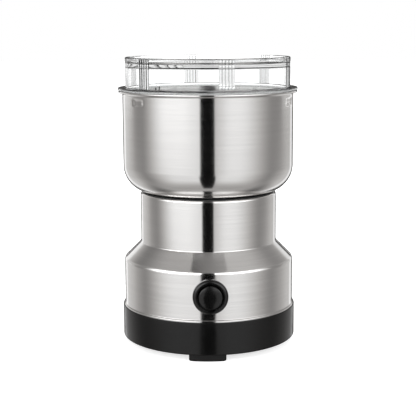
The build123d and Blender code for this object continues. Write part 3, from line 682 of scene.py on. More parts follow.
FINISHES: dict[str, Finish] = {finish.name: finish for finish in (
    Moulded("base_plastic", grey(0.003), roughness=0.16, depth=0.03, specular=0.4),
    Moulded("foot_rubber", grey(0.004), roughness=0.5, grain=1800.0, depth=0.12, specular=0.3),
    SheetSteel("steel_skin", (0.93, 0.92, 0.91)),
    Metal("steel_fasteners", (0.62, 0.62, 0.64), roughness=0.28),
    Metal("shaft_steel", (0.68, 0.68, 0.69), roughness=0.2, depth=0.04),
    Metal("blade_steel", (0.78, 0.78, 0.79), roughness=0.22, grain=900.0),
    Moulded("button_plastic", grey(0.002), roughness=0.17, depth=0.02),
    # The lid's rib sides are coloured darker, as painted shade
    Clear("clear_lid", (0.985, 0.99, 0.99), flank_shade=0.65),
    Clear("seal_silicone", (0.97, 0.975, 0.975), roughness=0.15, index=1.41, clearness=0.9),
    Moulded("gasket_rubber", grey(0.02), roughness=0.6),
    Metal("cast_alloy", (0.55, 0.56, 0.58), roughness=0.5, grain=700.0, depth=0.4),
    Layered("lamination_steel", (0.33, 0.33, 0.35), ridges=650.0, roughness=0.42),
    Layered("copper_wire", (0.60, 0.27, 0.13), ridges=520.0, roughness=0.3),
    Metal("copper_segments", (0.72, 0.38, 0.22), roughness=0.26),
    Metal("brass_parts", (0.72, 0.55, 0.26), roughness=0.3),
    Metal("sintered_bronze", (0.52, 0.36, 0.19), roughness=0.5, grain=2000.0, depth=0.3),
    Moulded("carbon", (0.045, 0.045, 0.05), roughness=0.5),
    Moulded("holder_plastic", (0.09, 0.055, 0.035), roughness=0.4),
    Moulded("fan_plastic", (0.72, 0.71, 0.67), roughness=0.45),
    Moulded("fibre", (0.40, 0.25, 0.14), roughness=0.7, grain=900.0, depth=0.3),
    Metal("spring_steel", (0.50, 0.50, 0.52), roughness=0.25),
    Moulded("block_plastic", (0.74, 0.74, 0.71), roughness=0.4),
    Moulded("lead_blue", (0.03, 0.09, 0.42), roughness=0.42),
    Moulded("lead_brown", (0.16, 0.07, 0.03), roughness=0.42),
    Moulded("lead_black", grey(0.015), roughness=0.42),
)}


class Wardrobe:
    """Makes each finish's material once and puts it on pieces."""

    def __init__(self) -> None:
        """Starts with no materials made."""
        self.made: dict[str, Material] = {}

    def material(self, slot: str) -> Material:
        """Material of a slot."""
        if slot not in self.made:
            self.made[slot] = FINISHES[slot].material()
        return self.made[slot]

    def dress(self, piece: Piece, slot: str) -> None:
        """Gives a piece the one material of a slot."""
        piece.data.materials.clear()
        piece.data.materials.append(self.material(slot))

    def dress_solid(self, solid: Piece, slot: str) -> None:
        """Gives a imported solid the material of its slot, on the object's own material slots."""
        for material_slot in solid.material_slots:
            material_slot.link = "OBJECT"
            material_slot.material = self.material(slot)


# ---------------------------------------------------------------- the mill


@dataclass
class Assembly:
    """What the sub-assemblies share: the loaded frame and the wardrobe."""

    frame: dict
    wardrobe: Wardrobe

    def box(self, node: str) -> tuple[Vector, Vector]:
        """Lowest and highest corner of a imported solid, in millimetres."""
        low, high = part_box(node)
        return low / MM, high / MM

    def level(self, node: str) -> float:
        """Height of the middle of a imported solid."""
        low, high = self.box(node)
        return (low.z + high.z) / 2

    def fit(self, piece: Piece, node: str, body: str, slot: str) -> None:
        """Smooths and dresses a finished piece, lets it ride on its body and stand for its node.

        Args:
            piece: The finished piece.
            node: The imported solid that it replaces.
            body: The body that it moves with.
            slot: The material slot that it takes its finish from.
        """
        smooth(piece)
        self.wardrobe.dress(piece, slot)
        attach(piece, body)
        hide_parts(node)
        LOG.info("%s: %d faces on %s", piece.name, len(piece.data.polygons), body)


@dataclass
class Body(Assembly):
    """The steel shell, with its lip over the base, its shoulder and its neck."""

    wall: float = 0.7
    lip_height: float = 0.8
    lip_flare: float = 0.4
    lip_inset: float = 0.45
    lip_bend: float = 0.35
    flare_bend: float = 0.3
    flare_depth: float = 0.7
    skirt_height: float = 28.4
    shoulder_rise: float = 10.0
    shoulder_run: float = 10.0
    shoulder_bend: float = 3.2
    waist_bend: float = 0.8
    neck_bend: float = 1.2
    neck_flange: float = 6.6
    hole_radius: float = 8.95
    hole_reach: float = 2.0
    steps: int = 512

    def build(self) -> None:
        """Spins the shell and cuts the hole for the button."""
        low, high = self.box("body_shell")
        lip, base, top = high.x - self.lip_inset, low.z, high.z
        side = lip - self.flare_depth
        neck = side - self.shoulder_run
        flare_top = base + self.lip_height + self.lip_flare
        shoulder = base + self.skirt_height
        path = [
            (lip, base), (lip, base + self.lip_height), (side, flare_top), (side, shoulder),
            (neck, shoulder + self.shoulder_rise), (neck, top), (neck - self.neck_flange, top),
        ]
        bends = [
            0.0, self.lip_bend, self.flare_bend, self.shoulder_bend, self.waist_bend, self.neck_bend, 0.0,
        ]
        shell = spun("body_shell_steel", sheet_outline(path, bends, self.wall), self.steps)
        height = self.level("button_cap")
        cut(shell, rod(self.hole_radius, -side - self.hole_reach, -neck, height, level=True))
        self.fit(shell, "body_shell", "housing", "steel_skin")


@dataclass
class Bowl(Assembly):
    """The steel bowl, with its rolled rim and the three dents that hold the lid."""

    wall: float = 0.6
    corner: float = 16.0
    rim_height: float = 1.3
    rim_overhang: float = 2.35
    rim_edge: float = 0.6
    rim_bend: float = 1.0
    mouth_edge: float = 0.5
    hole: float = 7.75
    hole_edge: float = 0.2
    dent_drop: float = 2.6
    dent_height: float = 3.5
    dent_depth: float = 0.65
    dent_angle: float = 12.0
    dent_first: float = -143.0
    dent_edge: float = 1.4
    dent_side: float = 3.0
    dent_rows: int = 12
    steps: int = 512

    def outline(self) -> list[Point]:
        """Closed outline of the bowl's wall, with rows of points where the dents are."""
        _, high = self.box("bowl")
        floor = self.box("bowl_gasket")[1].z
        outside = high.x - self.rim_overhang
        inside = outside - self.wall
        rim = high.z - self.rim_height
        points = [
            (self.hole, floor), (outside, floor), (outside, rim), (high.x, rim), (high.x, high.z),
            (inside, high.z), (inside, floor + self.wall), (self.hole, floor + self.wall),
        ]
        radii = [
            self.hole_edge, self.corner, self.rim_bend, self.rim_edge, self.rim_edge, self.mouth_edge,
            self.corner - self.wall, self.hole_edge,
        ]
        outline = rounded(points, radii, step=3.0)
        top = rim - self.dent_drop + self.dent_edge
        bottom = rim - self.dent_drop - self.dent_height - self.dent_edge
        rows = list(np.linspace(bottom, top, self.dent_rows))
        dense = []
        for here, there in zip(outline, outline[1:] + outline[:1]):
            dense.append(here)
            if abs(here[0] - there[0]) < SAME and abs(here[1] - there[1]) > self.dent_height:
                rising = there[1] > here[1]
                dense += [(here[0], z) for z in (rows if rising else rows[::-1])]
        return dense

    def dented(self, points: np.ndarray) -> np.ndarray:
        """Points of the wall, pushed in where the dents are."""
        rim = self.box("bowl")[1].z - self.rim_height
        high = rim - self.dent_drop
        low = high - self.dent_height
        radius, angle = polar(points)
        z = points[:, 2]
        tall = smooth_step(z, low - self.dent_edge / 2, low + self.dent_edge / 2)
        tall *= 1 - smooth_step(z, high - self.dent_edge / 2, high + self.dent_edge / 2)
        push = np.zeros_like(radius)
        side = math.degrees(self.dent_side / radius.max())
        for third in THIRDS:
            off = np.abs(angle_off(angle, self.dent_first + third))
            push += 1 - smooth_step(off, self.dent_angle / 2 - side, self.dent_angle / 2 + side / 3)
        return with_radius(points, radius - self.dent_depth * push * tall)

    def build(self) -> None:
        """Spins the bowl and presses its dents."""
        bowl = spun("bowl_steel", self.outline(), self.steps)
        reshape(bowl, self.dented)
        self.fit(bowl, "bowl", "housing", "steel_skin")


@dataclass
class Lid(Assembly):
    """The clear lid: a ribbed wall with a sunk top, a flange, a skirt with lugs, and the seal."""

    wall: float = 1.5
    recess: float = 3.7
    recess_bend: float = 1.6
    panel: float = 2.0
    edge: float = 0.8
    side: float = 48.8
    skirt: float = 48.55
    skirt_band: float = 0.35
    skirt_clear: float = 0.1
    flange_thickness: float = 1.5
    flange_edge: float = 0.6
    seal_width: float = 1.9
    seal_edge: float = 0.3
    seal_proud: float = 0.4
    seal_gap: float = 0.35
    seal_depth: float = 0.8
    seal_steps: int = 256
    lug_reach: float = 1.1
    lug_height: float = 1.6
    lug_step: float = 0.12
    lug_angle: float = 10.0
    stop_angle: float = 2.0
    stop_clear: float = 6.4
    lock_turn: float = 25.0
    rib_radius: float = 0.85
    rib_height: float = 0.52
    rib_pitch: float = 1.84
    ribs_per_group: int = 5
    rib_groups: int = 6
    rib_first: float = -78.6
    rib_columns: int = 56
    plain_columns: int = 56

    def heights(self) -> tuple[float, float, float, float]:
        """Bottom of the skirt, underside and top of the flange, and top of the lid."""
        low, high = self.box("lid")
        flange_low = self.box("bowl")[1].z + self.seal_proud
        return low.z, flange_low, flange_low + self.flange_thickness, high.z

    def group_angles(self) -> list[float]:
        """Angle of the middle of every group of ribs."""
        return [self.rib_first + group * 360 / self.rib_groups for group in range(self.rib_groups)]

    def columns(self) -> np.ndarray:
        """Angles of the outline's copies, close together where the ribs are."""
        half = (self.ribs_per_group - 1) / 2 * self.rib_pitch + 2 * self.rib_radius
        half = math.degrees(half / self.side)
        gap = 360 / self.rib_groups - 2 * half
        angles = []
        for middle in self.group_angles():
            angles += [middle - half + 2 * half * k / self.rib_columns for k in range(self.rib_columns)]
            angles += [middle + half + gap * k / self.plain_columns for k in range(self.plain_columns)]
        return np.array(angles)

    def outline(self) -> list[Point]:
        """Closed outline of the lid, with rows of points for the lugs."""
        skirt_low, flange_low, flange_high, top = self.heights()
        flange = self.box("lid")[1].x
        bore = self.side - self.wall
        groove_out = self.box("lid_seal")[1].x + self.seal_gap
        groove_in = groove_out - 2 * self.seal_gap - self.seal_width
        points = [
            (bore, skirt_low), (self.skirt, skirt_low), (self.skirt, flange_low),
            (groove_in, flange_low), (groove_in, flange_low + self.seal_depth),
            (groove_out, flange_low + self.seal_depth), (groove_out, flange_low),
            (flange, flange_low), (flange, flange_high), (self.side, flange_high), (self.side, top),
            (bore, top), (bore, top - self.recess), (0, top - self.recess),
            (0, top - self.recess - self.panel), (bore, top - self.recess - self.panel),
        ]
        radii = [
            0.5, 0.4, 0.2, 0, 0, 0, 0, 0.12, self.flange_edge, 0.3, self.edge, 0.4, self.recess_bend,
            0, 0, 0.6,
        ]
        outline = rounded(points, radii, step=12.0)
        lug_top = skirt_low + self.lug_height
        dense = []
        for here, there in zip(outline, outline[1:] + outline[:1]):
            dense.append(here)
            if abs(here[0] - self.skirt) < SAME and abs(there[0] - self.skirt) < SAME:
                dense += [(self.skirt, lug_top - self.lug_step), (self.skirt, lug_top)]
        return dense

    def ribbed(self, points: np.ndarray) -> np.ndarray:
        """Points of the outer wall, moved out where the ribs are."""
        _, _, flange_high, top = self.heights()
        radius, angle = polar(points)
        z = points[:, 2]
        wall = (np.abs(radius - self.side) < NEAR) & (z > flange_high) & (z < top - 0.5 * self.edge)
        out = np.zeros_like(radius)
        pitch = math.degrees(self.rib_pitch / self.side)
        for group in self.group_angles():
            for i in range(self.ribs_per_group):
                off = angle_off(angle, group + (i - (self.ribs_per_group - 1) / 2) * pitch)
                off = np.radians(off) * self.side
                rib = np.sqrt(np.clip(1 - (off / self.rib_radius) ** 2, 0, None))
                out = np.maximum(out, self.rib_height * rib)
        return with_radius(points, radius + out * wall)

    def lugged(self, points: np.ndarray) -> np.ndarray:
        """Points of the skirt, moved out where the lugs and their stops are."""
        skirt_low, flange_low, _, _ = self.heights()
        radius, angle = polar(points)
        z = points[:, 2]
        outer = (radius > self.skirt - self.skirt_band) & (z < flange_low - self.skirt_clear)
        low = z < skirt_low + self.lug_height - self.lug_step / 2
        out = np.zeros_like(radius)
        for third in THIRDS:
            off = angle_off(angle, Bowl.dent_first + third + self.lock_turn)
            lug = (off > -self.lug_angle / 2) & (off < self.stop_clear) & low
            stop = (off > self.stop_clear) & (off < self.stop_clear + self.stop_angle)
            out = np.maximum(out, (lug | stop) * self.lug_reach)
        return with_radius(points, radius + out * outer)

    def respaced(self, points: np.ndarray) -> np.ndarray:
        """Points turned from even columns to the chosen ones."""
        columns = self.columns()
        radius, angle = polar(points)
        index = np.round((angle % 360) / 360 * len(columns)).astype(int) % len(columns)
        turned = np.radians(columns[index])
        return np.stack([radius * np.cos(turned), radius * np.sin(turned), points[:, 2]], axis=1)

    def build(self) -> None:
        """Spins the lid and its seal."""
        lid = spun("lid_clear", self.outline(), len(self.columns()))
        for mover in (self.respaced, self.ribbed, self.lugged):
            reshape(lid, mover)
        self.fit(lid, "lid", "lid", "clear_lid")
        low, high = self.box("lid_seal")
        inner, outer = high.x - self.seal_width, high.x
        ring = [(inner, low.z), (outer, low.z), (outer, high.z), (inner, high.z)]
        seal = spun("lid_seal_ring", rounded(ring, [self.seal_edge] * 4, step=20.0), self.seal_steps)
        self.fit(seal, "lid_seal", "seal", "seal_silicone")


@dataclass
class Base(Assembly):
    """The black cup under the shell, with its vents, its screw wells and the hole for the cord's bush."""

    floor: float = 2.5
    edge: float = 1.0
    top_edge: float = 0.4
    spigot_edge: float = 0.5
    floor_bend: float = 1.5
    spigot_height: float = 4.0
    spigot_wall: float = 1.8
    shell_gap: float = 2.2
    screw_circle: float = 34.0
    screw_first: float = -90.0
    screw_well: float = 3.15
    well_depth: float = 9.5
    stem_circle: float = 42.95
    stem_radius: float = 2.5
    feet_first: float = -92.0
    gland_barrel: float = 5.2
    gland_reach: Point = (45.0, 55.0)
    inlet_count: int = 12
    inlet_reach: Point = (12.0, 26.0)
    outlet_count: int = 7
    outlet_reach: Point = (40.0, 45.0)
    outlet_step: float = 8.0
    vent_width: float = 3.0
    past: float = 1.0
    steps: int = 384

    def spokes(self) -> list[tuple[float, Point]]:
        """Angle and reach of every vent in the floor."""
        found = [((i + 0.5) * 360 / self.inlet_count, self.inlet_reach) for i in range(self.inlet_count)]
        for third in THIRDS:
            middle = self.feet_first + 60 + third
            for i in range(self.outlet_count):
                aside = (i - (self.outlet_count - 1) / 2) * self.outlet_step
                found.append((middle + aside, self.outlet_reach))
        return found

    def vents(self, low: float, high: float) -> Piece:
        """Blocks where the vents are, as one piece to cut with.

        Args:
            low: Bottom of the floor.
            high: Top of the floor.

        Returns:
            The blocks.
        """
        deselect()
        blocks = []
        for angle, (start, end) in self.spokes():
            turn, middle = math.radians(angle), (start + end) / 2
            bpy.ops.mesh.primitive_cube_add(size=MM)
            block = bpy.context.object
            block.scale = (end - start, self.vent_width, high - low + 2 * self.past)
            block.rotation_euler.z = turn
            block.location = Vector((middle * math.cos(turn), middle * math.sin(turn), (low + high) / 2)) * MM
            blocks.append(block)
        return joined(blocks)

    def wells(self, low: float, high: float) -> Piece:
        """Rods where the cord's bush, the screws and the feet's stems go, as one piece to cut with.

        Args:
            low: Bottom of the floor.
            high: Top of the floor.

        Returns:
            The rods.
        """
        rods = [rod(self.gland_barrel, *self.gland_reach, self.level("cord_gland"), level=True)]
        for third in THIRDS:
            for circle, first, radius, top in (
                (self.screw_circle, self.screw_first, self.screw_well, low + self.well_depth),
                (self.stem_circle, self.feet_first, self.stem_radius, high + self.past),
            ):
                turn = math.radians(first + third)
                place = (circle * math.cos(turn), circle * math.sin(turn))
                rods.append(rod(radius, low - self.past, top, place=place))
        return joined(rods)

    def build(self) -> None:
        """Spins the cup and cuts its vents, wells and holes."""
        low, high = self.box("base_cup")
        radius, bottom = high.x, low.z
        top = high.z - self.spigot_height
        spigot = radius - self.shell_gap
        bore = spigot - self.spigot_wall
        floor = bottom + self.floor
        points = [
            (0, bottom), (radius, bottom), (radius, top), (spigot, top), (spigot, high.z), (bore, high.z),
            (bore, floor), (0, floor),
        ]
        radii = [0, self.edge, self.top_edge, 0, self.spigot_edge, 0, self.floor_bend, 0]
        cup = spun("base_cup_moulding", rounded(points, radii, step=12.0), self.steps)
        for tool in (self.vents, self.wells):
            cut(cup, tool(bottom, floor))
        self.fit(cup, "base_cup", "housing", "base_plastic")


@dataclass
class Button(Assembly):
    """The push button in its bezel, about a level axis."""

    bezel_radius: float = 10.15
    bezel_round: float = 1.9
    bezel_proud: float = 2.45
    bezel_sink: float = 1.6
    groove_radius: float = 8.0
    groove_depth: float = 1.6
    barrel_radius: float = 8.7
    bore: float = 7.1
    cap_radius: float = 6.75
    cap_flat: float = 0.55
    dome: float = 0.6
    dome_radius: float = 12.0
    collar_radius: float = 7.55
    collar_length: float = 2.0
    collar_gap: float = 0.35
    stem_radius: float = 2.4
    shell_side: float = 50.65
    step_depth: float = 2.2
    steps: int = 192

    def build_bezel(self, height: float) -> None:
        """Spins the bezel and seats its back on the round of the shell."""
        low, high = self.box("button_bezel")
        front, back = low.y, high.y
        seat, groove = front + self.bezel_proud + self.bezel_sink, front + self.groove_depth
        step, counterbore = -self.shell_side + self.step_depth, self.collar_radius + self.collar_gap
        points = [
            (self.bore, groove), (self.groove_radius, groove), (self.groove_radius, front),
            (self.bezel_radius, front), (self.bezel_radius, seat), (self.barrel_radius, seat),
            (self.barrel_radius, back), (counterbore, back), (counterbore, step), (self.bore, step),
        ]
        radii = [0.2, 0.15, 0.2, self.bezel_round, 0, 0, 0.3, 0.1, 0, 0.2]
        bezel = spun("button_bezel_ring", rounded(points, radii, step=10.0), self.steps, Turn.BUTTON, height)

        def seated(points: np.ndarray) -> np.ndarray:
            """The bezel's back edge, laid on the shell."""
            moved = points.copy()
            edge = np.abs(points[:, 1] - seat) < NEAR
            round_side = -np.sqrt(self.shell_side**2 - points[:, 0] ** 2)
            moved[edge, 1] = round_side[edge]
            return moved

        reshape(bezel, seated)
        self.fit(bezel, "button_bezel", "housing", "button_plastic")

    def build_cap(self, height: float) -> None:
        """Spins the cap, with a domed face and the collar and stem behind it."""
        low, high = self.box("button_cap")
        front, end = low.y, high.y
        step = -self.shell_side + self.step_depth
        collar_end = step + self.collar_length
        points = [
            (0, front), (self.cap_radius * self.cap_flat, front), (self.cap_radius, front + self.dome),
            (self.cap_radius, step), (self.collar_radius, step), (self.collar_radius, collar_end),
            (self.stem_radius, collar_end), (self.stem_radius, end), (0, end),
        ]
        radii = [0, self.dome_radius, 0.7, 0, 0.2, 0.2, 0.3, 0.5, 0]
        cap = spun("button_cap_push", rounded(points, radii, step=8.0), self.steps, Turn.BUTTON, height)
        self.fit(cap, "button_cap", "button", "button_plastic")

    def build(self) -> None:
        """Builds the bezel and the cap."""
        height = self.level("button_cap")
        self.build_bezel(height)
        self.build_cap(height)


@dataclass
class Solids(Assembly):
    """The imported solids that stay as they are, each in the finish of its slot."""

    button_travel: float = 2.0

    def build(self) -> None:
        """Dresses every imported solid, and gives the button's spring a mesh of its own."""
        for part in self.frame["record"]["subparts"]:
            self.wardrobe.dress_solid(self.frame["nodes"][part["node"]], part["material_slot"])
        low, high = self.box("button_spring")
        spring = self.frame["nodes"]["button_spring"]
        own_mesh(spring)


# ---------------------------------------------------------------- studio


@dataclass(frozen=True)
class Card:
    """A soft card of light beside the mill. Its edges are degrees round from the front, right above 0."""

    start: float
    full: float
    fade: float
    end: float
    light: float

    def shine(self, graph: Graph, turn: Socket) -> Socket:
        """Light of the card in a direction, given as degrees round from the front."""
        rise, fall = graph.span(turn, self.start, self.full), graph.span(turn, self.fade, self.end, 1.0, 0.0)
        return graph.times(rise, fall, self.light)


@dataclass(frozen=True)
class Lamp:
    """A large soft lamp that only matt surfaces show. Its power is in watts."""

    name: str
    place: Place
    power: float
    size: float = 900.0

    def build(self) -> None:
        """Adds the lamp, turned to the middle of the mill."""
        data = bpy.data.lights.new(self.name, "AREA")
        data.shape, data.size, data.energy = "DISK", self.size * MM, self.power
        lamp = bpy.data.objects.new(self.name, data)
        bpy.context.scene.collection.objects.link(lamp)
        lamp.location = Vector(self.place) * MM
        aim = Vector((0, 0, 80)) * MM - lamp.location
        lamp.rotation_euler = aim.to_track_quat("-Z", "Y").to_euler()
        lamp.visible_glossy = lamp.visible_transmission = lamp.visible_camera = False


@dataclass
class Studio:
    """Camera, floor, world and lamps of a plain white studio.

    Names that end in _up are ranges of a direction's upward part, in _off of degrees to either side
    of the front, in _turn of degrees to the right of it, in _across of its part to the right and in
    _back of its part away from the camera. A third and fourth number are what the range is taken to.
    """

    distance: float = 639.8
    camera_height: float = 186.36
    camera_turn: float = 1.09
    pitch: float = 9.395
    roll: float = -0.27
    aside: float = -0.00084
    lens: float = 93.03
    sensor: float = 36.0
    studio_turn: float = 1.9
    floor_half: float = 6000.0

    white: Colour = grey(1.0)
    black: Colour = grey(0.006)
    warmth: Colour = (1.0, 0.975, 0.955)
    warm_until: Span = (0.35, 0.8)
    ambient: float = 0.24
    matt_light: float = 0.6
    high_cards: tuple[Card, ...] = (
        Card(-99, -55, -9, -8, 0.52), Card(-99, -55, -36, -10, 0.19),
        Card(8, 9, 39, 99, 0.29), Card(9, 34, 39, 99, 0.3),
    )
    low_cards: tuple[Card, ...] = (
        Card(-96, -41, -9, -8, 0.5), Card(8, 9, 37, 96, 0.36), Card(9, 28, 37, 96, 0.14),
        Card(-135, -118, -110, -94, 0.08), Card(94, 112, 150, 160, 0.08),
    )
    high_row_up: Span = (-0.185, -0.105)
    tops_up: Span = (0.05, 0.15)
    tops_off: Span = (100, 56)
    tops_turn: Span = (-10, 10, 1.9, 1.4)
    left_rear_turn: Span = (-104, -142, 0.0, 0.36)
    right_rear_turn: Span = (104, 140, 0.0, 0.22)
    rear_off: Span = (143, 149, 0.0, 0.35)
    dark_rear_off: Span = (156, 159, 1.0, 0.12)
    gap_half: float = 9.4
    low_gap_half: float = 10.8
    low_gap_up: Span = (-0.25, -0.2)
    gap_edge: float = 0.9
    pale_off: Span = (108, 125)
    pale_from_up: Span = (-0.054, -0.046)
    pale_until_up: Span = (-0.012, -0.02)

    lean: float = 0.35
    ceiling_up: Span = (0.45, 0.72)
    ceiling_across: Span = (-0.5, 0.5)
    ceiling_back: Span = (-0.05, 0.5)
    near_ceiling: tuple[Colour, Colour] = (grey(0.38), grey(0.48))
    far_ceiling: tuple[Colour, Colour] = (grey(0.19), grey(0.24))
    flag: tuple[Colour, Colour] = (grey(0.115), grey(0.295))
    flag_across: Span = (-0.26, 0.28)
    flag_left_across: Span = (-0.27, -0.255)
    flag_right_across: Span = (0.285, 0.27)
    flag_back: Span = (0.1, 0.0)
    ground: tuple[Colour, Colour] = (grey(0.36), grey(0.05))
    ground_up: Span = (-0.5, -0.9)
    ground_back: Span = (0.0, 0.4)
    strip_from_up: Span = (-0.96, -0.9)
    strip_until_up: Span = (-0.3, -0.5)

    clear_gap: Span = (-2, 4, 0.06, 1.0)
    clear_low_up: Span = (-0.55, -0.1, 0.6, 1.0)
    clear_rear_up: tuple[Span, Span] = ((0.03, 0.09), (0.8, 0.6))
    clear_rear_back: Span = (0.2, 0.4)
    clear_rear_across: Span = (0.05, 0.15, 1.0, 0.2)
    clear_rear_middle: float = 0.005
    lamps: tuple[Lamp, ...] = (
        Lamp("lamp_left", (-900, -900, 700), 7.0), Lamp("lamp_right", (900, -800, 600), 5.5),
        Lamp("lamp_top", (0, 0, 1500), 8.0), Lamp("lamp_back", (0, 1200, 900), 6.0),
    )

    def build_camera(self) -> None:
        """Camera before the button, looking down a little."""
        data = bpy.data.cameras.new("camera")
        data.lens, data.sensor_width, data.sensor_fit = self.lens, self.sensor, "HORIZONTAL"
        data.shift_x = self.aside
        data.clip_end = 100.0
        camera = bpy.data.objects.new("camera", data)
        bpy.context.scene.collection.objects.link(camera)
        turn = math.radians(self.camera_turn)
        place = (-self.distance * math.sin(turn), -self.distance * math.cos(turn), self.camera_height)
        camera.location = Vector(place) * MM
        aim = Matrix.Rotation(-turn, 3, "Z") @ Matrix.Rotation(math.radians(90 - self.pitch), 3, "X")
        camera.rotation_euler = (aim @ Matrix.Rotation(math.radians(self.roll), 3, "Z")).to_euler()
        bpy.context.scene.camera = camera

    def walls(self, graph: Graph, turn: Socket, up: Socket) -> Socket:
        """Grey of the studio's level part.

        Args:
            graph: World's graph.
            turn: Degrees round from the front.
            up: Upward part of the direction.

        Returns:
            Cards, bright tops, the pale sides behind, the dark gap in front and the dark back.
        """
        low, high = (
            graph.plus(self.ambient, *(card.shine(graph, turn) for card in cards))
            for cards in (self.low_cards, self.high_cards)
        )
        raised = graph.span(up, *self.high_row_up, soft=False)
        cards = graph.plus(low, graph.times(graph.math("SUBTRACT", high, low), raised))
        off = graph.math("ABSOLUTE", turn)
        tops = graph.times(
            graph.span(up, *self.tops_up), graph.span(off, *self.tops_off), graph.span(turn, *self.tops_turn)
        )
        rear = graph.plus(graph.span(turn, *self.left_rear_turn), graph.span(turn, *self.right_rear_turn))
        light = graph.plus(cards, tops, rear, graph.span(off, *self.rear_off))
        gap = graph.span(up, *self.low_gap_up, self.low_gap_half, self.gap_half)
        beside = graph.math("SUBTRACT", off, gap)
        beside = graph.span(beside, -self.gap_edge, self.gap_edge, self.black[0], 1.0)
        light = graph.times(light, beside, graph.span(off, *self.dark_rear_off))
        level = graph.times(graph.span(up, *self.pale_from_up), graph.span(up, *self.pale_until_up))
        return graph.math("MAXIMUM", light, graph.times(graph.span(off, *self.pale_off), level))

    def overhead(self, graph: Graph, across: Socket, back: Socket) -> Socket:
        """Grey of the ceiling, paler to the right, with a darker flag over the front."""
        side = graph.span(across, *self.ceiling_across)
        near, far = graph.mix(side, *self.near_ceiling), graph.mix(side, *self.far_ceiling)
        ceiling = graph.mix(graph.span(back, *self.ceiling_back), near, far)
        flag = graph.mix(graph.span(across, *self.flag_across, soft=False), *self.flag)
        inside = graph.times(
            graph.span(across, *self.flag_left_across), graph.span(across, *self.flag_right_across),
            graph.span(back, *self.flag_back),
        )
        return graph.mix(inside, ceiling, flag)

    def mirrored(self, graph: Graph, turn: Socket, axes: dict) -> Socket:
        """What a surface mirrors: walls, ceiling and ground, slightly warm where they are dark.

        Args:
            graph: World's graph.
            turn: Degrees round from the front.
            axes: Parts of the direction: X to the right, Y back and Z up.

        Returns:
            The colour.
        """
        across, back, up = axes["X"], axes["Y"], axes["Z"]
        leaning = graph.plus(up, graph.times(graph.math("MAXIMUM", back, 0.0), self.lean))
        ceiling = graph.span(leaning, *self.ceiling_up)
        colour = graph.mix(ceiling, self.walls(graph, turn, up), self.overhead(graph, across, back))
        ground = graph.mix(graph.span(back, *self.ground_back), *self.ground)
        colour = graph.mix(graph.span(up, *self.ground_up), colour, ground)
        edges = self.low_gap_half - 1, self.low_gap_half + 1
        front = graph.span(graph.math("ABSOLUTE", turn), *edges, 1.0, 0.0)
        below = graph.times(graph.span(up, *self.strip_from_up), graph.span(up, *self.strip_until_up))
        colour = graph.mix(graph.times(front, below), colour, self.black)
        tint = graph.mix(graph.span(colour, *self.warm_until), self.warmth, self.white)
        return graph.mix(1.0, colour, tint, "MULTIPLY")

    def through_lid(self, graph: Graph, turn: Socket, axes: dict) -> Socket:
        """What the steel mirrors where it is seen through the clear lid.

        Args:
            graph: World's graph.
            turn: Degrees round from the front.
            axes: Parts of the direction: X to the right, Y back and Z up.

        Returns:
            Pale grey, with the dark gap in front and a faint shade behind.
        """
        across, back, up = axes["X"], axes["Y"], axes["Z"]
        inner, outer, dark, pale = self.clear_gap
        beside = graph.span(
            graph.math("ABSOLUTE", turn), self.gap_half + inner, self.gap_half + outer, dark, pale
        )
        light = graph.times(beside, graph.span(up, *self.clear_low_up))
        level = graph.times(*(graph.span(up, *part) for part in self.clear_rear_up),
                            graph.span(back, *self.clear_rear_back))
        middle = graph.math("ABSOLUTE", graph.math("SUBTRACT", across, self.clear_rear_middle))
        shade = graph.times(level, graph.span(middle, *self.clear_rear_across))
        return graph.times(light, graph.math("SUBTRACT", 1.0, shade))

    def build_world(self) -> None:
        """World that is white to the camera and a studio to what reflects it."""
        world = bpy.context.scene.world = bpy.data.worlds.new("studio")
        graph = cleared(world)
        straight = graph.add("ShaderNodeTexCoord").outputs["Generated"]
        inputs = {"Vector": straight, "Angle": math.radians(self.studio_turn)}
        turned = graph.add("ShaderNodeVectorRotate", inputs, rotation_type="Z_AXIS").outputs[0]
        axes = graph.add("ShaderNodeSeparateXYZ", {0: turned}).outputs
        angle = graph.math("ARCTAN2", axes["X"], graph.times(axes["Y"], -1.0))
        turn = graph.times(angle, 180 / math.pi)
        path = graph.add("ShaderNodeLightPath").outputs
        mirrored, through = self.mirrored(graph, turn, axes), self.through_lid(graph, turn, axes)
        colour = graph.mix(path["Is Transmission Ray"], mirrored, through)
        colour = graph.mix(path["Is Diffuse Ray"], colour, grey(self.matt_light))
        colour = graph.mix(seen_straight(graph), colour, self.white)
        light = graph.add("ShaderNodeBackground", {"Color": colour, "Strength": 1.0})
        graph.add("ShaderNodeOutputWorld", {"Surface": light.outputs[0]})

    def build_floor(self) -> None:
        """Pale floor that keeps the mill's soft shadow and is white farther away."""
        deselect()
        bpy.ops.mesh.primitive_plane_add(size=2 * self.floor_half * MM, location=(0, 0, 0))
        floor = named(bpy.context.object, "floor")
        material = bpy.data.materials.new("floor_white")
        graph = cleared(material)
        away = graph.vector("LENGTH", graph.add("ShaderNodeTexCoord").outputs["Object"])
        matt = graph.add("ShaderNodeBsdfDiffuse", {"Color": (*grey(0.8), 1.0)})
        strength = graph.times(seen_straight(graph), graph.span(away, 0.08, 0.5, 0.7, 1.0))
        glow = graph.add("ShaderNodeEmission", {"Color": (*self.white, 1.0), "Strength": strength})
        both = graph.add("ShaderNodeAddShader", {0: matt.outputs[0], 1: glow.outputs[0]})
        graph.add("ShaderNodeOutputMaterial", {"Surface": both.outputs[0]})
        floor.data.materials.append(material)
        floor.visible_glossy = False

    def build(self) -> None:
        """Builds the camera, the world, the floor and the lamps."""
        bpy.context.scene.view_settings.view_transform = "Standard"
        self.build_camera()
        self.build_world()
        self.build_floor()
        for lamp in self.lamps:
            lamp.build()


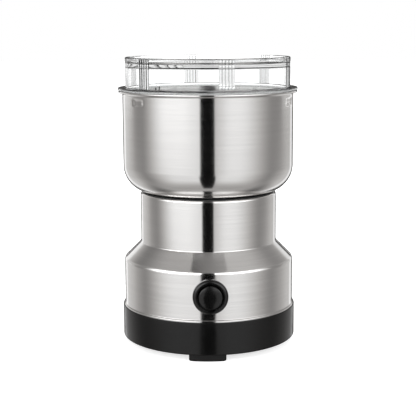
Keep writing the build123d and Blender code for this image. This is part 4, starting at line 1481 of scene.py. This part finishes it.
def main() -> None:
    """Builds the mill and its studio."""
    logging.basicConfig(level=logging.INFO, format="%(name)s: %(message)s")
    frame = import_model()
    Studio().build()
    wardrobe = Wardrobe()
    for kind in (Solids, Base, Body, Bowl, Lid, Button):
        kind(frame, wardrobe).build()
    deselect()


if __name__ == "__main__":
    main()
